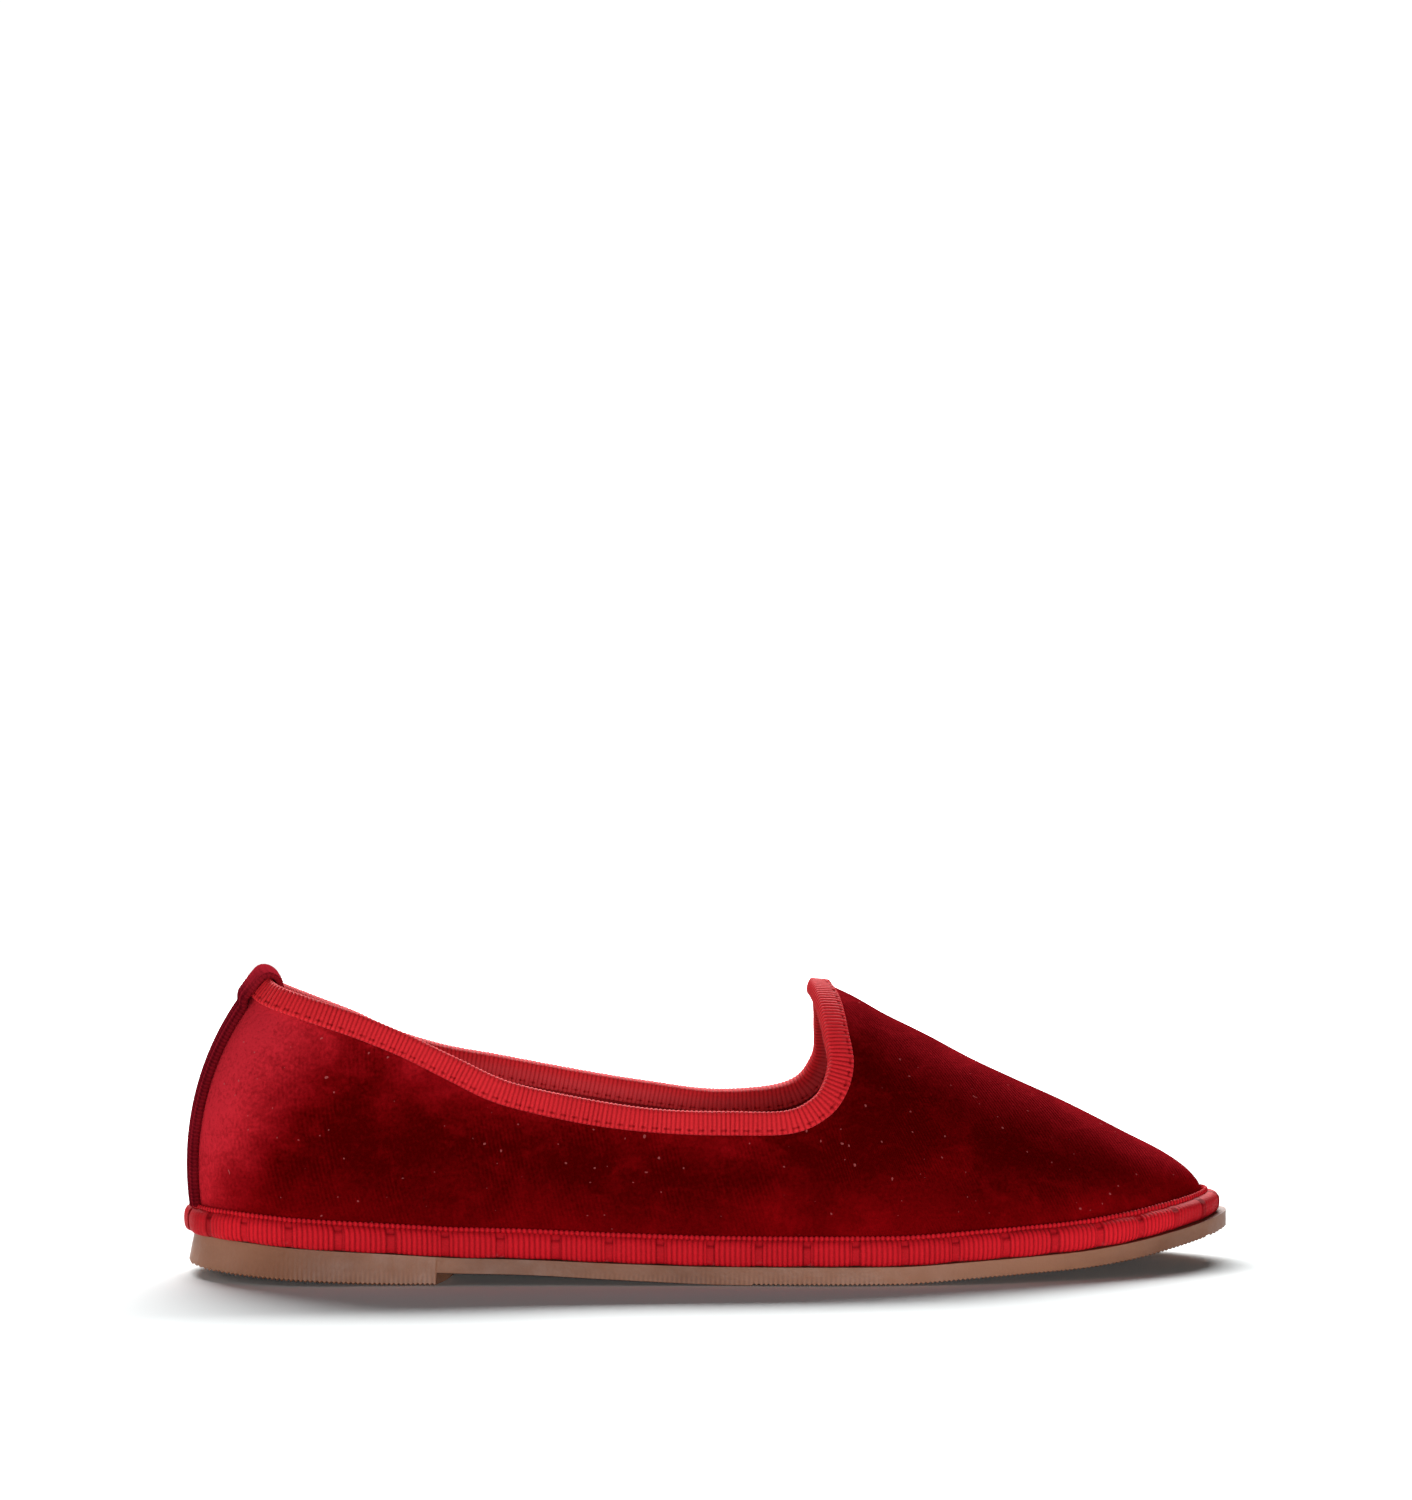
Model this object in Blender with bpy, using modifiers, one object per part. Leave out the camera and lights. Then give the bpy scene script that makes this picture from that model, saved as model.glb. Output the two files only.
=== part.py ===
"""A friulane slipper: velvet upper, bound collar, heel stay, corded rand, insole and a low-heeled rubber sole.

Metres. +X runs from heel to toe, -Y is the outer side of this right shoe and +Z is up. The sole stands on z = 0.
Tables give places along the shoe as shares of its length, counted from the back of the heel.
"""

from functools import cache
from math import pi

import bmesh
import bpy
import numpy as np

# Overall sizes
shoe_length = 0.2512
ball_width = 0.084
instep_height = 0.0681
clearance = 0.0003

# Outsole, one rubber moulding
plate_thickness = 0.0043
seat_rise = 0.0060
toe_spring = 0.0079
heel_rocker = 0.0028
heel_rocker_end = 0.200
heel_rocker_curve = 1.4
heel_breast = 0.2315
heel_breast_slant = 0.003
heel_breast_bow = 0.0056
heel_breast_fade = 0.050
sole_inset = 0.0024
sole_flare = 0.0014
sole_bevel = 0.0006

# Rand, the roll between outsole and upper
rand_height = 0.0058
rand_width = 0.0034
rand_toe_inset = 0.0019
rand_fullness = 2.5
rand_rows = (
    # along, height
    (0.000, 1.00),
    (0.840, 1.00),
    (0.940, 0.93),
    (1.000, 0.84),
)

# Upper and what is sewn on it
upper_wall = 0.0018
collar_back_height = 0.0700
last_top_rise = 0.0180
tongue_tip = 0.599
binding_width = 0.0047
binding_thickness = 0.0009
stay_width = 0.0210
stay_thickness = 0.0011
stay_inside_length = 0.0095
stay_ramp = 0.0020

# Insole
insole_thickness = 0.0034
insole_toe_thickness = 0.0016
insole_thinning_start = 0.600
insole_toe_inset = 0.0080
insole_side_gap = 0.0008

# Plan of the rand's outside: half width and swing to the inner side as shares of the ball width
heel_round = 0.135
heel_squareness = 2.25
toe_round = 0.300
toe_squareness = 1.75
plan_rows = (
    # along, half width, swing
    (0.000, 0.350, 0.000),
    (0.160, 0.362, 0.000),
    (0.300, 0.359, -0.027),
    (0.420, 0.374, -0.058),
    (0.550, 0.430, -0.052),
    (0.660, 0.486, -0.018),
    (0.740, 0.497, 0.006),
    (0.860, 0.486, 0.030),
    (1.000, 0.455, 0.058),
)

# The sole: shares of the seat rise, the toe spring, the plate's thickness, the edge's inset and its flare
sole_rows = (
    # along, seat, spring, thickness, inset, flare
    (0.000, 1.00, 0.00, 0.90, 1.00, 1.00),
    (0.050, 0.90, 0.00, 0.90, 0.80, 1.00),
    (0.100, 0.72, 0.00, 0.90, 0.60, 1.00),
    (0.200, 0.45, 0.00, 0.86, 0.35, 0.75),
    (0.250, 0.33, 0.00, 0.82, 0.25, 0.50),
    (0.300, 0.28, 0.00, 0.82, 0.17, 0.25),
    (0.395, 0.13, 0.00, 0.88, 0.17, 0.00),
    (0.490, 0.01, 0.00, 0.97, 0.17, 0.00),
    (0.560, 0.00, 0.00, 1.00, 0.17, 0.00),
    (0.650, 0.00, 0.00, 1.00, 0.17, 0.00),
    (0.730, 0.00, 0.12, 0.97, 0.17, 0.00),
    (0.780, 0.00, 0.19, 0.96, 0.17, 0.00),
    (0.830, 0.00, 0.26, 0.98, 0.17, 0.00),
    (0.876, 0.00, 0.39, 0.99, 0.17, 0.00),
    (0.930, 0.00, 0.63, 0.97, 0.12, 0.00),
    (1.000, 0.00, 1.00, 0.93, 0.00, 0.00),
)

# The last's top line: height as shares of the instep height ahead of the tongue and of the last's top behind it
ridge_rows = (
    # along, instep share, last top share, swing to the inner side
    (0.200, 0.000, 1.000, 0.000),
    (0.360, 0.000, 0.950, 0.000),
    (0.480, 0.450, 0.520, 0.004),
    (0.560, 0.900, 0.112, 0.010),
    (0.605, 0.990, 0.000, 0.014),
    (0.626, 0.962, 0.000, 0.017),
    (0.667, 0.879, 0.000, 0.022),
    (0.706, 0.808, 0.000, 0.027),
    (0.750, 0.721, 0.000, 0.032),
    (0.794, 0.645, 0.000, 0.037),
    (0.840, 0.568, 0.000, 0.042),
    (0.905, 0.446, 0.000, 0.049),
    (0.939, 0.381, 0.000, 0.053),
    (0.960, 0.327, 0.000, 0.055),
    (0.974, 0.270, 0.000, 0.056),
)

# Cross-sections of the last: how far the top stands ahead of the foot, and the form of each side
section_rows = (
    # along, lean, squareness outer, squareness inner, bulge outer, bulge inner
    (0.000, 0.220, 2.30, 2.30, 0.058, 0.058),
    (0.050, 0.171, 2.30, 2.30, 0.066, 0.066),
    (0.160, 0.105, 2.30, 2.30, 0.080, 0.085),
    (0.300, 0.062, 2.25, 2.30, 0.075, 0.100),
    (0.450, 0.018, 2.15, 2.30, 0.065, 0.120),
    (0.580, 0.000, 2.00, 2.10, 0.055, 0.085),
    (0.700, 0.000, 1.85, 1.95, 0.045, 0.050),
    (0.850, 0.000, 1.80, 1.85, 0.040, 0.040),
    (0.940, 0.000, 1.85, 1.85, 0.030, 0.030),
    (1.000, -0.006, 2.00, 2.00, 0.020, 0.020),
)
bulge_skew = 0.8

# The collar's cut edge from the side, heel to tongue: heights as shares of the instep height and of the collar's back
collar_rows_outer = (
    # along, instep share, back share
    (0.09, 0.00, 0.96),
    (0.15, 0.40, 0.50),
    (0.20, 0.48, 0.35),
    (0.25, 0.65, 0.10),
    (0.30, 0.67, 0.00),
    (0.36, 0.62, 0.00),
    (0.43, 0.58, 0.00),
    (0.50, 0.57, 0.00),
    (0.55, 0.57, 0.00),
    (0.58, 0.61, 0.00),
    (0.60, 0.72, 0.00),
    (0.60, 0.85, 0.00),
)
collar_rows_inner = (
    # along, instep share, back share
    (0.09, 0.00, 0.95),
    (0.15, 0.37, 0.50),
    (0.20, 0.46, 0.33),
    (0.25, 0.60, 0.14),
    (0.30, 0.71, 0.00),
    (0.37, 0.66, 0.00),
    (0.43, 0.62, 0.00),
    (0.50, 0.58, 0.00),
    (0.55, 0.58, 0.00),
    (0.59, 0.61, 0.00),
    (0.61, 0.70, 0.00),
    (0.61, 0.85, 0.00),
)

# How finely the shapes are faceted
collar_columns = 36
ridge_columns = 18
ridge_crowding = 1.4
upper_foot_at_tongue = 0.700
wall_rows = 11
wall_crowding = 1.6
bend_weight = 0.012
crown_bends = 3
stay_columns = 8
stay_rows = 14
rand_columns = 88
rand_bends = 5
sole_columns = 40
insole_columns = 28
plate_across = 4
curve_steps = 12
slope_step = 0.001
halvings = 36
snaps = 4

OUTER, INNER = -1, 1

colours = {
    "velvet": (0.20, 0.004, 0.008),
    "dark velvet": (0.16, 0.006, 0.012),
    "grosgrain": (0.48, 0.026, 0.032),
    "cord": (0.42, 0.026, 0.040),
    "rubber": (0.30, 0.165, 0.100),
    "leather": (0.52, 0.36, 0.24),
}
roughness = {
    "velvet": 0.95,
    "dark velvet": 0.95,
    "grosgrain": 0.80,
    "cord": 0.80,
    "rubber": 0.60,
    "leather": 0.70,
}


@cache
def table_curve(rows, column):
    """A table's places, one column's values and the tangents of a curve that never overshoots them."""
    table = np.array(rows, float)
    known, values = table[:, 0], table[:, column]
    gaps = np.diff(known)
    slopes = np.diff(values) / gaps
    tangents = np.zeros(len(known))
    tangents[0], tangents[-1] = slopes[0], slopes[-1]
    for i in range(1, len(known) - 1):
        before, after = slopes[i - 1], slopes[i]
        if before * after > 0:
            first, second = 2 * gaps[i] + gaps[i - 1], gaps[i] + 2 * gaps[i - 1]
            tangents[i] = (first + second) / (first / before + second / after)
    return known, values, gaps, tangents


def smooth(rows, column, places):
    """A column of a table read at any place."""
    known, values, gaps, tangents = table_curve(rows, column)
    places = np.clip(np.asarray(places, float), known[0], known[-1])
    i = np.clip(np.searchsorted(known, places, side="right") - 1, 0, len(gaps) - 1)
    t = (places - known[i]) / gaps[i]
    rise = values[i + 1] - values[i]
    bend_in = tangents[i] * gaps[i] - rise
    bend_out = rise - tangents[i + 1] * gaps[i]
    return values[i] + t * rise + t * (1 - t) * ((1 - t) * bend_in + t * bend_out)


def unit(vectors):
    return vectors / np.linalg.norm(vectors, axis=-1, keepdims=True)


def find(reached, wanted):
    """The turn, from 0 to 1, at which a rising measure reaches what is wanted, found by halving."""
    low, high = 0.0, 1.0
    for _ in range(halvings):
        middle = (low + high) / 2
        low, high = (middle, high) if reached(middle) < wanted else (low, middle)
    return middle


def along_of(turn):
    """Share of the length at a turn from 0, the back of the heel, to 1, the toe, close-set at both ends."""
    return (1 - np.cos(pi * np.asarray(turn, float))) / 2


def turn_of(along):
    return float(np.arccos(1 - 2 * along) / pi)


def share_along(x):
    return np.asarray(x, float) / shoe_length + 0.5


def half_width(along):
    heel = np.clip(1 - along / heel_round, 0, 1)
    toe = np.clip(1 - (1 - along) / toe_round, 0, 1)
    rounding = (1 - heel**heel_squareness) ** (1 / heel_squareness) * np.sqrt(1 - toe**toe_squareness)
    return smooth(plan_rows, 1, along) * rounding * ball_width


def edge_distance(along, side):
    """How far the plan reaches to one side of the heel's centre line."""
    return half_width(along) + side * smooth(plan_rows, 2, along) * ball_width


def middle_of_plan():
    """The sideways place halfway between the plan's widest reaches."""
    along = np.linspace(0, 1, 801)
    return (edge_distance(along, INNER).max() - edge_distance(along, OUTER).max()) / 2


plan_middle = middle_of_plan()


def plan_point(around, front, inset):
    """The plan at around, from -1, the toe, along the outer side to 0, the heel, and by the inner side to 1."""
    around = np.asarray(around, float)

    def on_edge(where):
        where = (where + 1) % 2 - 1
        along, side = along_of(np.abs(where)), np.where(where < 0, OUTER, INNER)
        return np.stack([along * front - shoe_length / 2, side * edge_distance(along, side) - plan_middle], -1)

    way = unit(on_edge(around + slope_step) - on_edge(around - slope_step))
    inward = np.stack([way[..., 1], -way[..., 0]], -1)
    return on_edge(around) + inward * np.asarray(inset, float)[..., None]


def rand_plan(around, inset):
    return plan_point(around, shoe_length - rand_toe_inset, inset)


def sole_top(x):
    along = share_along(x)
    return plate_thickness + smooth(sole_rows, 1, along) * seat_rise + smooth(sole_rows, 2, along) * toe_spring


def on_height(plan, height):
    return np.concatenate([plan[..., :2], np.broadcast_to(height, plan.shape[:-1])[..., None]], -1)


def over_sole(plan, height):
    """Points of a plan at a height over the sole's top, which is not flat."""
    return on_height(plan, sole_top(plan[..., 0]) + height)


def ridge_point(along):
    """The last's top line, from the ankle over the instep to the toe."""
    height = smooth(ridge_rows, 1, along) * instep_height + smooth(ridge_rows, 2, along) * (collar_back_height + last_top_rise)
    swing = smooth(ridge_rows, 3, along) * ball_width - plan_middle
    return np.stack([(along - 0.5) * shoe_length, swing, height], -1)


def section(around):
    """A cross-section's foot on the sole, its top on the ridge, and its squareness and bulge."""
    foot = over_sole(rand_plan(around, rand_width + clearance), clearance)
    along = along_of(np.abs(around))
    top_along = share_along(foot[..., 0]) + smooth(section_rows, 1, along)
    top = ridge_point(np.clip(top_along, ridge_rows[0][0], ridge_rows[-1][0]))
    outer = np.asarray(around) < 0
    squareness = np.where(outer, smooth(section_rows, 2, along), smooth(section_rows, 3, along))
    bulge = np.where(outer, smooth(section_rows, 4, along), smooth(section_rows, 5, along))
    return foot, top, squareness, bulge


def skin(around, climb):
    """A point of the last's skin, climbing from 0, its foot on the sole, to 1, its top line."""
    foot, top, squareness, bulge = section(around)
    angle = np.clip(climb, 0, 1) * pi / 2
    up = np.clip(np.sin(angle), 0, 1) ** (2 / squareness)
    inward = 1 - np.clip(np.cos(angle), 0, 1) ** (2 / squareness) - bulge * np.sin(pi * up**bulge_skew)
    return foot + (top - foot) * np.stack([inward, inward, up], -1)


def climb_at(around, height):
    """How far up a section the skin reaches a height."""
    foot, top, squareness, _ = section(around)
    up = np.clip((height - foot[..., 2]) / (top[..., 2] - foot[..., 2]), 0, 1)
    return np.arcsin(up ** (squareness / 2)) * 2 / pi


def fold_over(around, climb):
    """Places past the top line, carried on down the other side."""
    past = climb > 1
    return np.where(past, -around, around), np.where(past, 2 - climb, climb)


def skin_slopes(around, climb):
    """The skin's two tangents, along the shoe and up the wall."""
    ahead, behind = skin(around + slope_step, climb), skin(around - slope_step, climb)
    above = skin(*fold_over(around, climb + slope_step))
    below = skin(around, np.maximum(climb - slope_step, 0))
    rise = slope_step + np.minimum(climb, slope_step)
    return (ahead - behind) / (2 * slope_step), (above - below) / rise[..., None]


def skin_normal(around, climb):
    along_way, up_way = skin_slopes(around, climb)
    return unit(np.cross(up_way, along_way))


def snap_to_skin(points, around, climb):
    """The places on the skin nearest to points, from a first guess."""
    for _ in range(snaps):
        along_way, up_way = skin_slopes(around, climb)
        miss = points - skin(around, climb)
        aa, ab, bb = (along_way**2).sum(-1), (along_way * up_way).sum(-1), (up_way**2).sum(-1)
        ma, mb = (miss * along_way).sum(-1), (miss * up_way).sum(-1)
        spread = aa * bb - ab**2
        around = around + (ma * bb - mb * ab) / spread
        climb = climb + (mb * aa - ma * ab) / spread
        around, climb = fold_over(around, np.maximum(climb, 0))
    return around, climb


def mix(first, second, start, end, t):
    return ((end - t) * first + (t - start) * second) / (end - start)


def curve_through(points, steps):
    """A smooth curve through all but the first and last of the points, which only steer its ends."""
    points = np.array(points, float)
    knots = np.concatenate([[0], np.cumsum(np.sqrt(np.linalg.norm(np.diff(points, axis=0), axis=1)))])
    pieces = []
    for i in range(1, len(points) - 2):
        k0, k1, k2, k3 = knots[i - 1 : i + 3]
        p0, p1, p2, p3 = points[i - 1 : i + 3]
        t = np.linspace(k1, k2, steps, endpoint=False)[:, None]
        first, second, third = mix(p0, p1, k0, k1, t), mix(p1, p2, k1, k2, t), mix(p2, p3, k2, k3, t)
        pieces.append(mix(mix(first, second, k0, k2, t), mix(second, third, k1, k3, t), k1, k2, t))
    return np.concatenate(pieces + [points[-2:-1]])


def collar_places(rows, side):
    """The collar's rows on the skin, heel to tongue, as turn and climb."""
    places = [(0.0, float(climb_at(0.0, collar_back_height)))]
    for along, instep_share, back_share in rows:
        height = instep_share * instep_height + back_share * collar_back_height
        turn = find(lambda turn: skin(side * turn, climb_at(side * turn, height))[0], (along - 0.5) * shoe_length)
        places.append((turn, float(climb_at(side * turn, height))))
    return places + [(tongue_turn, 1.0)]


def collar_curve(side):
    """One side of the collar from heel to tongue, as around and climb."""
    own = collar_places(collar_rows[side], side)
    other = collar_places(collar_rows[-side], -side)
    before = (-other[1][0], other[1][1])
    after = (other[-2][0], 2 - other[-2][1])
    curve = curve_through([before] + own + [after], curve_steps)
    return spaced_out(curve[:, 0] * side, curve[:, 1], collar_columns)


def spaced_out(around, climb, count):
    """A curve on the skin at places set evenly along it, closer where it bends."""
    steps = np.diff(skin(around, climb), axis=0)
    turns = np.arccos(np.clip((unit(steps[1:]) * unit(steps[:-1])).sum(-1), -1, 1))
    weights = np.linalg.norm(steps, axis=1)
    weights[1:] += turns * bend_weight
    reach = np.concatenate([[0], np.cumsum(weights)])
    wanted = np.linspace(0, reach[-1], count + 1)
    return np.interp(wanted, reach, around), np.interp(wanted, reach, climb)


collar_rows = {OUTER: collar_rows_outer, INNER: collar_rows_inner}
tongue_turn = find(lambda turn: section(turn)[1][0], (tongue_tip - 0.5) * shoe_length)
collar_sides = {side: collar_curve(side) for side in (OUTER, INNER)}


def collar_ring():
    """The whole collar, from the heel by the outer side to the tongue and back by the inner side."""
    (out_around, out_climb), (in_around, in_climb) = collar_sides[OUTER], collar_sides[INNER]
    around = np.concatenate([out_around, in_around[-2:0:-1]])
    return around, np.concatenate([out_climb, in_climb[-2:0:-1]])


def grid_sheet(columns, rows, place):
    """A grid of faces whose corners place() puts in space, joined where its edges meet."""
    bm = bmesh.new()
    bmesh.ops.create_grid(bm, x_segments=columns, y_segments=rows, size=1)
    for vertex in bm.verts:
        vertex.co = place(round((vertex.co.x + 1) / 2 * columns), round((vertex.co.y + 1) / 2 * rows))
    bmesh.ops.remove_doubles(bm, verts=bm.verts, dist=0.00002)
    return bm


def plate_sheet(stations, ring_at):
    """A plate lofted through rings of points, which close to a short edge at the heel and at the toe."""
    rings = [ring_at(turn) for turn in stations]
    around = len(rings[0])
    return grid_sheet(len(rings) - 1, around, lambda column, row: rings[column][row % around])


def across(first, second):
    """Points from one side's edge to the other's."""
    shares = np.linspace(0, 1, plate_across + 1)[:, None]
    return first + (second - first) * shares


def material(name, colour):
    made = bpy.data.materials.new(name)
    made.use_nodes = True
    shader = made.node_tree.nodes["Principled BSDF"]
    shader.inputs["Base Color"].default_value = (*colours[colour], 1)
    shader.inputs["Roughness"].default_value = roughness[colour]
    shader.inputs["Metallic"].default_value = 0
    return made


def add_piece(name, bm, colour, collection, shell=0.0):
    """An object from a bmesh. A shell is thickened outward, or inward where it is negative."""
    if not shell:
        bmesh.ops.recalc_face_normals(bm, faces=bm.faces)
    mesh = bpy.data.meshes.new(name)
    bm.to_mesh(mesh)
    bm.free()
    mesh.shade_smooth()
    mesh.materials.append(material(name, colour))
    piece = bpy.data.objects.new(name, mesh)
    collection.objects.link(piece)
    if shell:
        thicken = piece.modifiers.new("thickness", "SOLIDIFY")
        thicken.thickness = abs(shell)
        thicken.offset = np.sign(shell)
        thicken.use_even_offset = True
    return piece


def outsole(collection):
    """The sole with its toe spring, waist and low heel, whose front face bows towards the toe."""

    def underside(turn):
        along = along_of(turn)
        if along <= heel_breast + slope_step:
            return heel_rocker * np.clip(1 - along / heel_rocker_end, 0, 1) ** heel_rocker_curve
        x = (along - 0.5) * shoe_length
        return float(sole_top(x)) - plate_thickness * smooth(sole_rows, 3, along)

    def ring_at(turn):
        along = along_of(turn)
        inset = sole_inset * smooth(sole_rows, 4, along)
        spread = inset - sole_flare * smooth(sole_rows, 5, along)
        low = underside(turn)
        top = over_sole(across(*plan_point([-turn, turn], shoe_length, [inset, inset])), 0)
        sides = on_height(plan_point([turn, -turn], shoe_length, [spread, spread]), low + sole_bevel)
        edges = plan_point([turn, -turn], shoe_length, [spread + sole_bevel] * 2)
        bottom = on_height(across(*edges), low)
        fade = np.clip(1 - abs(along - heel_breast) / heel_breast_fade, 0, 1)
        bottom[:, 0] += heel_breast_bow * fade * (1 - np.linspace(-1, 1, plate_across + 1) ** 2)
        return np.concatenate([top, sides[:1], bottom, sides[1:]])

    stations = set(np.linspace(0, 1, sole_columns + 1))
    stations |= {turn_of(heel_breast), turn_of(heel_breast + heel_breast_slant)}
    return add_piece("outsole", plate_sheet(sorted(stations), ring_at), "rubber", collection)


def insole(collection):
    """The padded sock, which thins towards the toe."""
    side_inset = rand_width + clearance + upper_wall + insole_side_gap

    def ring_at(turn):
        to_toe = np.clip((along_of(turn) - insole_thinning_start) / (1 - insole_thinning_start), 0, 1)
        inset = side_inset + insole_toe_inset * to_toe**2
        edges = rand_plan([-turn, turn], [inset, inset])
        thickness = insole_thickness + (insole_toe_thickness - insole_thickness) * to_toe
        top = over_sole(across(edges[0], edges[1]), clearance + thickness)
        bottom = over_sole(across(edges[1], edges[0]), clearance)
        return np.concatenate([top, bottom])

    return add_piece("insole", plate_sheet(np.linspace(0, 1, insole_columns + 1), ring_at), "leather", collection)


def rand(collection):
    """The roll sewn round the featherline: flat against the upper and full outside."""
    around = np.linspace(-1, 1, rand_columns, endpoint=False)
    full_height = smooth(rand_rows, 1, along_of(np.abs(around))) * rand_height

    def against_upper(share):
        height = share * full_height
        foot = section(around)[0]
        climb = climb_at(around, foot[..., 2] + height)
        plan = skin(around, climb) + skin_normal(around, climb) * clearance
        return over_sole(plan, clearance + height)

    ring = [against_upper(share) for share in np.linspace(0, 1, 3)]
    for angle in np.linspace(pi / 2, -pi / 2, rand_bends + 2)[1:-1]:
        share = (1 + np.sign(angle) * abs(np.sin(angle)) ** (2 / rand_fullness)) / 2
        out = np.cos(angle) ** (2 / rand_fullness)
        back, front = against_upper(share), rand_plan(around, np.zeros(rand_columns))
        plan = back[..., :2] + (front - back[..., :2]) * out
        ring.append(over_sole(plan, clearance + share * full_height))
    rows = len(ring)
    bm = grid_sheet(rand_columns, rows, lambda column, row: ring[row % rows][column % rand_columns])
    return add_piece("rand", bm, "cord", collection)


def upper(collection):
    """The velvet wall, open at the collar and underneath: two sides that meet at heel, ridge and toe."""
    columns = collar_columns + ridge_columns
    tongue_foot = turn_of(upper_foot_at_tongue)
    to_toe = np.linspace(0, 1, ridge_columns + 1)[1:] ** ridge_crowding
    toe_feet = tongue_foot + (1 - tongue_foot) * to_toe
    ridge_turns = tongue_turn + (1 - tongue_turn) * to_toe
    up = 1 - (1 - np.linspace(0, 1, wall_rows + 1)[:, None]) ** wall_crowding
    halves = {}
    for side in (OUTER, INNER):
        around, climb = collar_sides[side]
        lowest = climb.argmin()
        past_corner = (climb - climb[lowest]) / (1 - climb[lowest]) * (np.arange(len(climb)) > lowest)
        feet = np.maximum.accumulate(abs(around))
        feet = side * np.concatenate([feet + (tongue_foot - feet) * past_corner, toe_feet])
        tops = np.concatenate([around, side * ridge_turns])
        climbs = np.concatenate([climb, np.ones(ridge_columns)])
        halves[side] = skin(feet + (tops - feet) * up, climbs * up)

    def place(column, row):
        if column <= columns:
            return halves[INNER][row][columns - column]
        return halves[OUTER][row][column - columns]

    return add_piece("upper", grid_sheet(2 * columns, wall_rows, place), "velvet", collection, -upper_wall)


def collar_binding(collection):
    """Grosgrain tape folded over the collar's edge: a U section run all round it."""
    around, climb = collar_ring()
    edge, normal = skin(around, climb), skin_normal(around, climb)
    way = unit(np.roll(edge, -1, axis=0) - np.roll(edge, 1, axis=0))
    down = unit(np.cross(way, normal))
    inside, outside = -upper_wall - clearance, clearance

    def on_leg(drop, offset):
        low = snap_to_skin(edge + down * drop, around, climb)
        return skin(*low) + skin_normal(*low) * offset

    drops = np.array([binding_width, binding_width / 2])
    ring = [on_leg(drop, outside + binding_thickness) for drop in drops]
    middle, reach = edge - normal * upper_wall / 2, upper_wall / 2 + clearance + binding_thickness
    for angle in np.linspace(0, pi, crown_bends + 2):
        rise = clearance + binding_thickness * np.sin(angle)
        ring.append(middle + normal * reach * np.cos(angle) - down * rise)
    ring += [on_leg(drop, inside - binding_thickness) for drop in drops[::-1]]
    ring += [on_leg(drop, inside) for drop in drops]
    ring += [edge + normal * offset - down * clearance for offset in (inside, outside)]
    ring += [on_leg(drop, outside) for drop in drops[::-1]]
    rows, columns = len(ring), len(around)
    bm = grid_sheet(columns, rows, lambda column, row: ring[row % rows][column % columns])
    return add_piece("collar_binding", bm, "grosgrain", collection)


def heel_stay(collection):
    """A velvet strip up the back of the heel, over the binding and a little way down inside."""
    ring = skin(*collar_ring())
    back = ring[ring[:, 0] < ring[:, 0].min() + stay_width]
    back = back[np.argsort(back[:, 1])]
    over_binding = 2 * clearance + binding_thickness

    def place_at(y, height):
        side = OUTER if y < 0 else INNER
        turn = find(lambda turn: side * skin(side * turn, climb_at(side * turn, height))[1], side * y)
        return side * turn, climb_at(side * turn, height)

    def on_heel(y, height, offset):
        place = place_at(y, height)
        return skin(*place) + skin_normal(*place) * offset

    def line(across_heel):
        y = across_heel - plan_middle
        bottom = float(sole_top(-shoe_length / 2)) + 2 * clearance + rand_height
        edge = float(np.interp(y, back[:, 1], back[:, 2]))
        ramp_end = edge - binding_width + clearance
        heights = [(height, clearance) for height in np.linspace(bottom, ramp_end - stay_ramp, stay_rows + 1)]
        heights += [(height, over_binding) for height in np.linspace(ramp_end, edge, 4)]
        points = [on_heel(y, height, offset) for height, offset in heights]
        top = place_at(y, edge)
        normal, rise = skin_normal(*top), unit(skin_slopes(*top)[1]) * (over_binding + clearance)
        middle, reach = skin(*top) - normal * upper_wall / 2, upper_wall / 2 + over_binding
        for angle in np.linspace(0, pi, crown_bends + 4)[1:-1]:
            points.append(middle + normal * reach * np.cos(angle) + rise * np.sin(angle))
        for height in np.linspace(edge, edge - stay_inside_length, 5):
            points.append(on_heel(y, height, -upper_wall - over_binding))
        return points

    lines = [line(y) for y in np.linspace(stay_width / 2, -stay_width / 2, stay_columns + 1)]
    bm = grid_sheet(stay_columns, len(lines[0]) - 1, lambda column, row: lines[column][row])
    return add_piece("heel_stay", bm, "dark velvet", collection, stay_thickness)


def main():
    for old in list(bpy.data.objects):
        bpy.data.objects.remove(old, do_unlink=True)
    collection = bpy.data.collections.new("friulane slipper")
    bpy.context.scene.collection.children.link(collection)
    for build in (outsole, insole, rand, upper, collar_binding, heel_stay):
        build(collection)


main()
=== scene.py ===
"""Dresses the friulane slipper: velvet, ribbed tapes, whip-stitched rand, lining, insole and treaded sole.

Metres. +X runs from heel to toe, -Y is the outer side of this right shoe and +Z is up.
"""

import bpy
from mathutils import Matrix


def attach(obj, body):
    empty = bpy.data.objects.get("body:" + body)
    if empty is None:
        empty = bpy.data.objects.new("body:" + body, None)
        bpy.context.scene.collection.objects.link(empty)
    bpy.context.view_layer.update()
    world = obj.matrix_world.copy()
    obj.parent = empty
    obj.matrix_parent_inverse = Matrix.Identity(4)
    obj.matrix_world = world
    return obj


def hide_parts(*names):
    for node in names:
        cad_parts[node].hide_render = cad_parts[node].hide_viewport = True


bl_info = {
    "name": "Friulane slipper",
    "version": (1, 0, 0),
    "blender": (4, 5, 0),
    "location": "View3D > Sidebar > Slipper",
    "description": "Makes the cloth, tapes, rand, sole and stage of a friulane slipper",
    "category": "Object",
}

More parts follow.
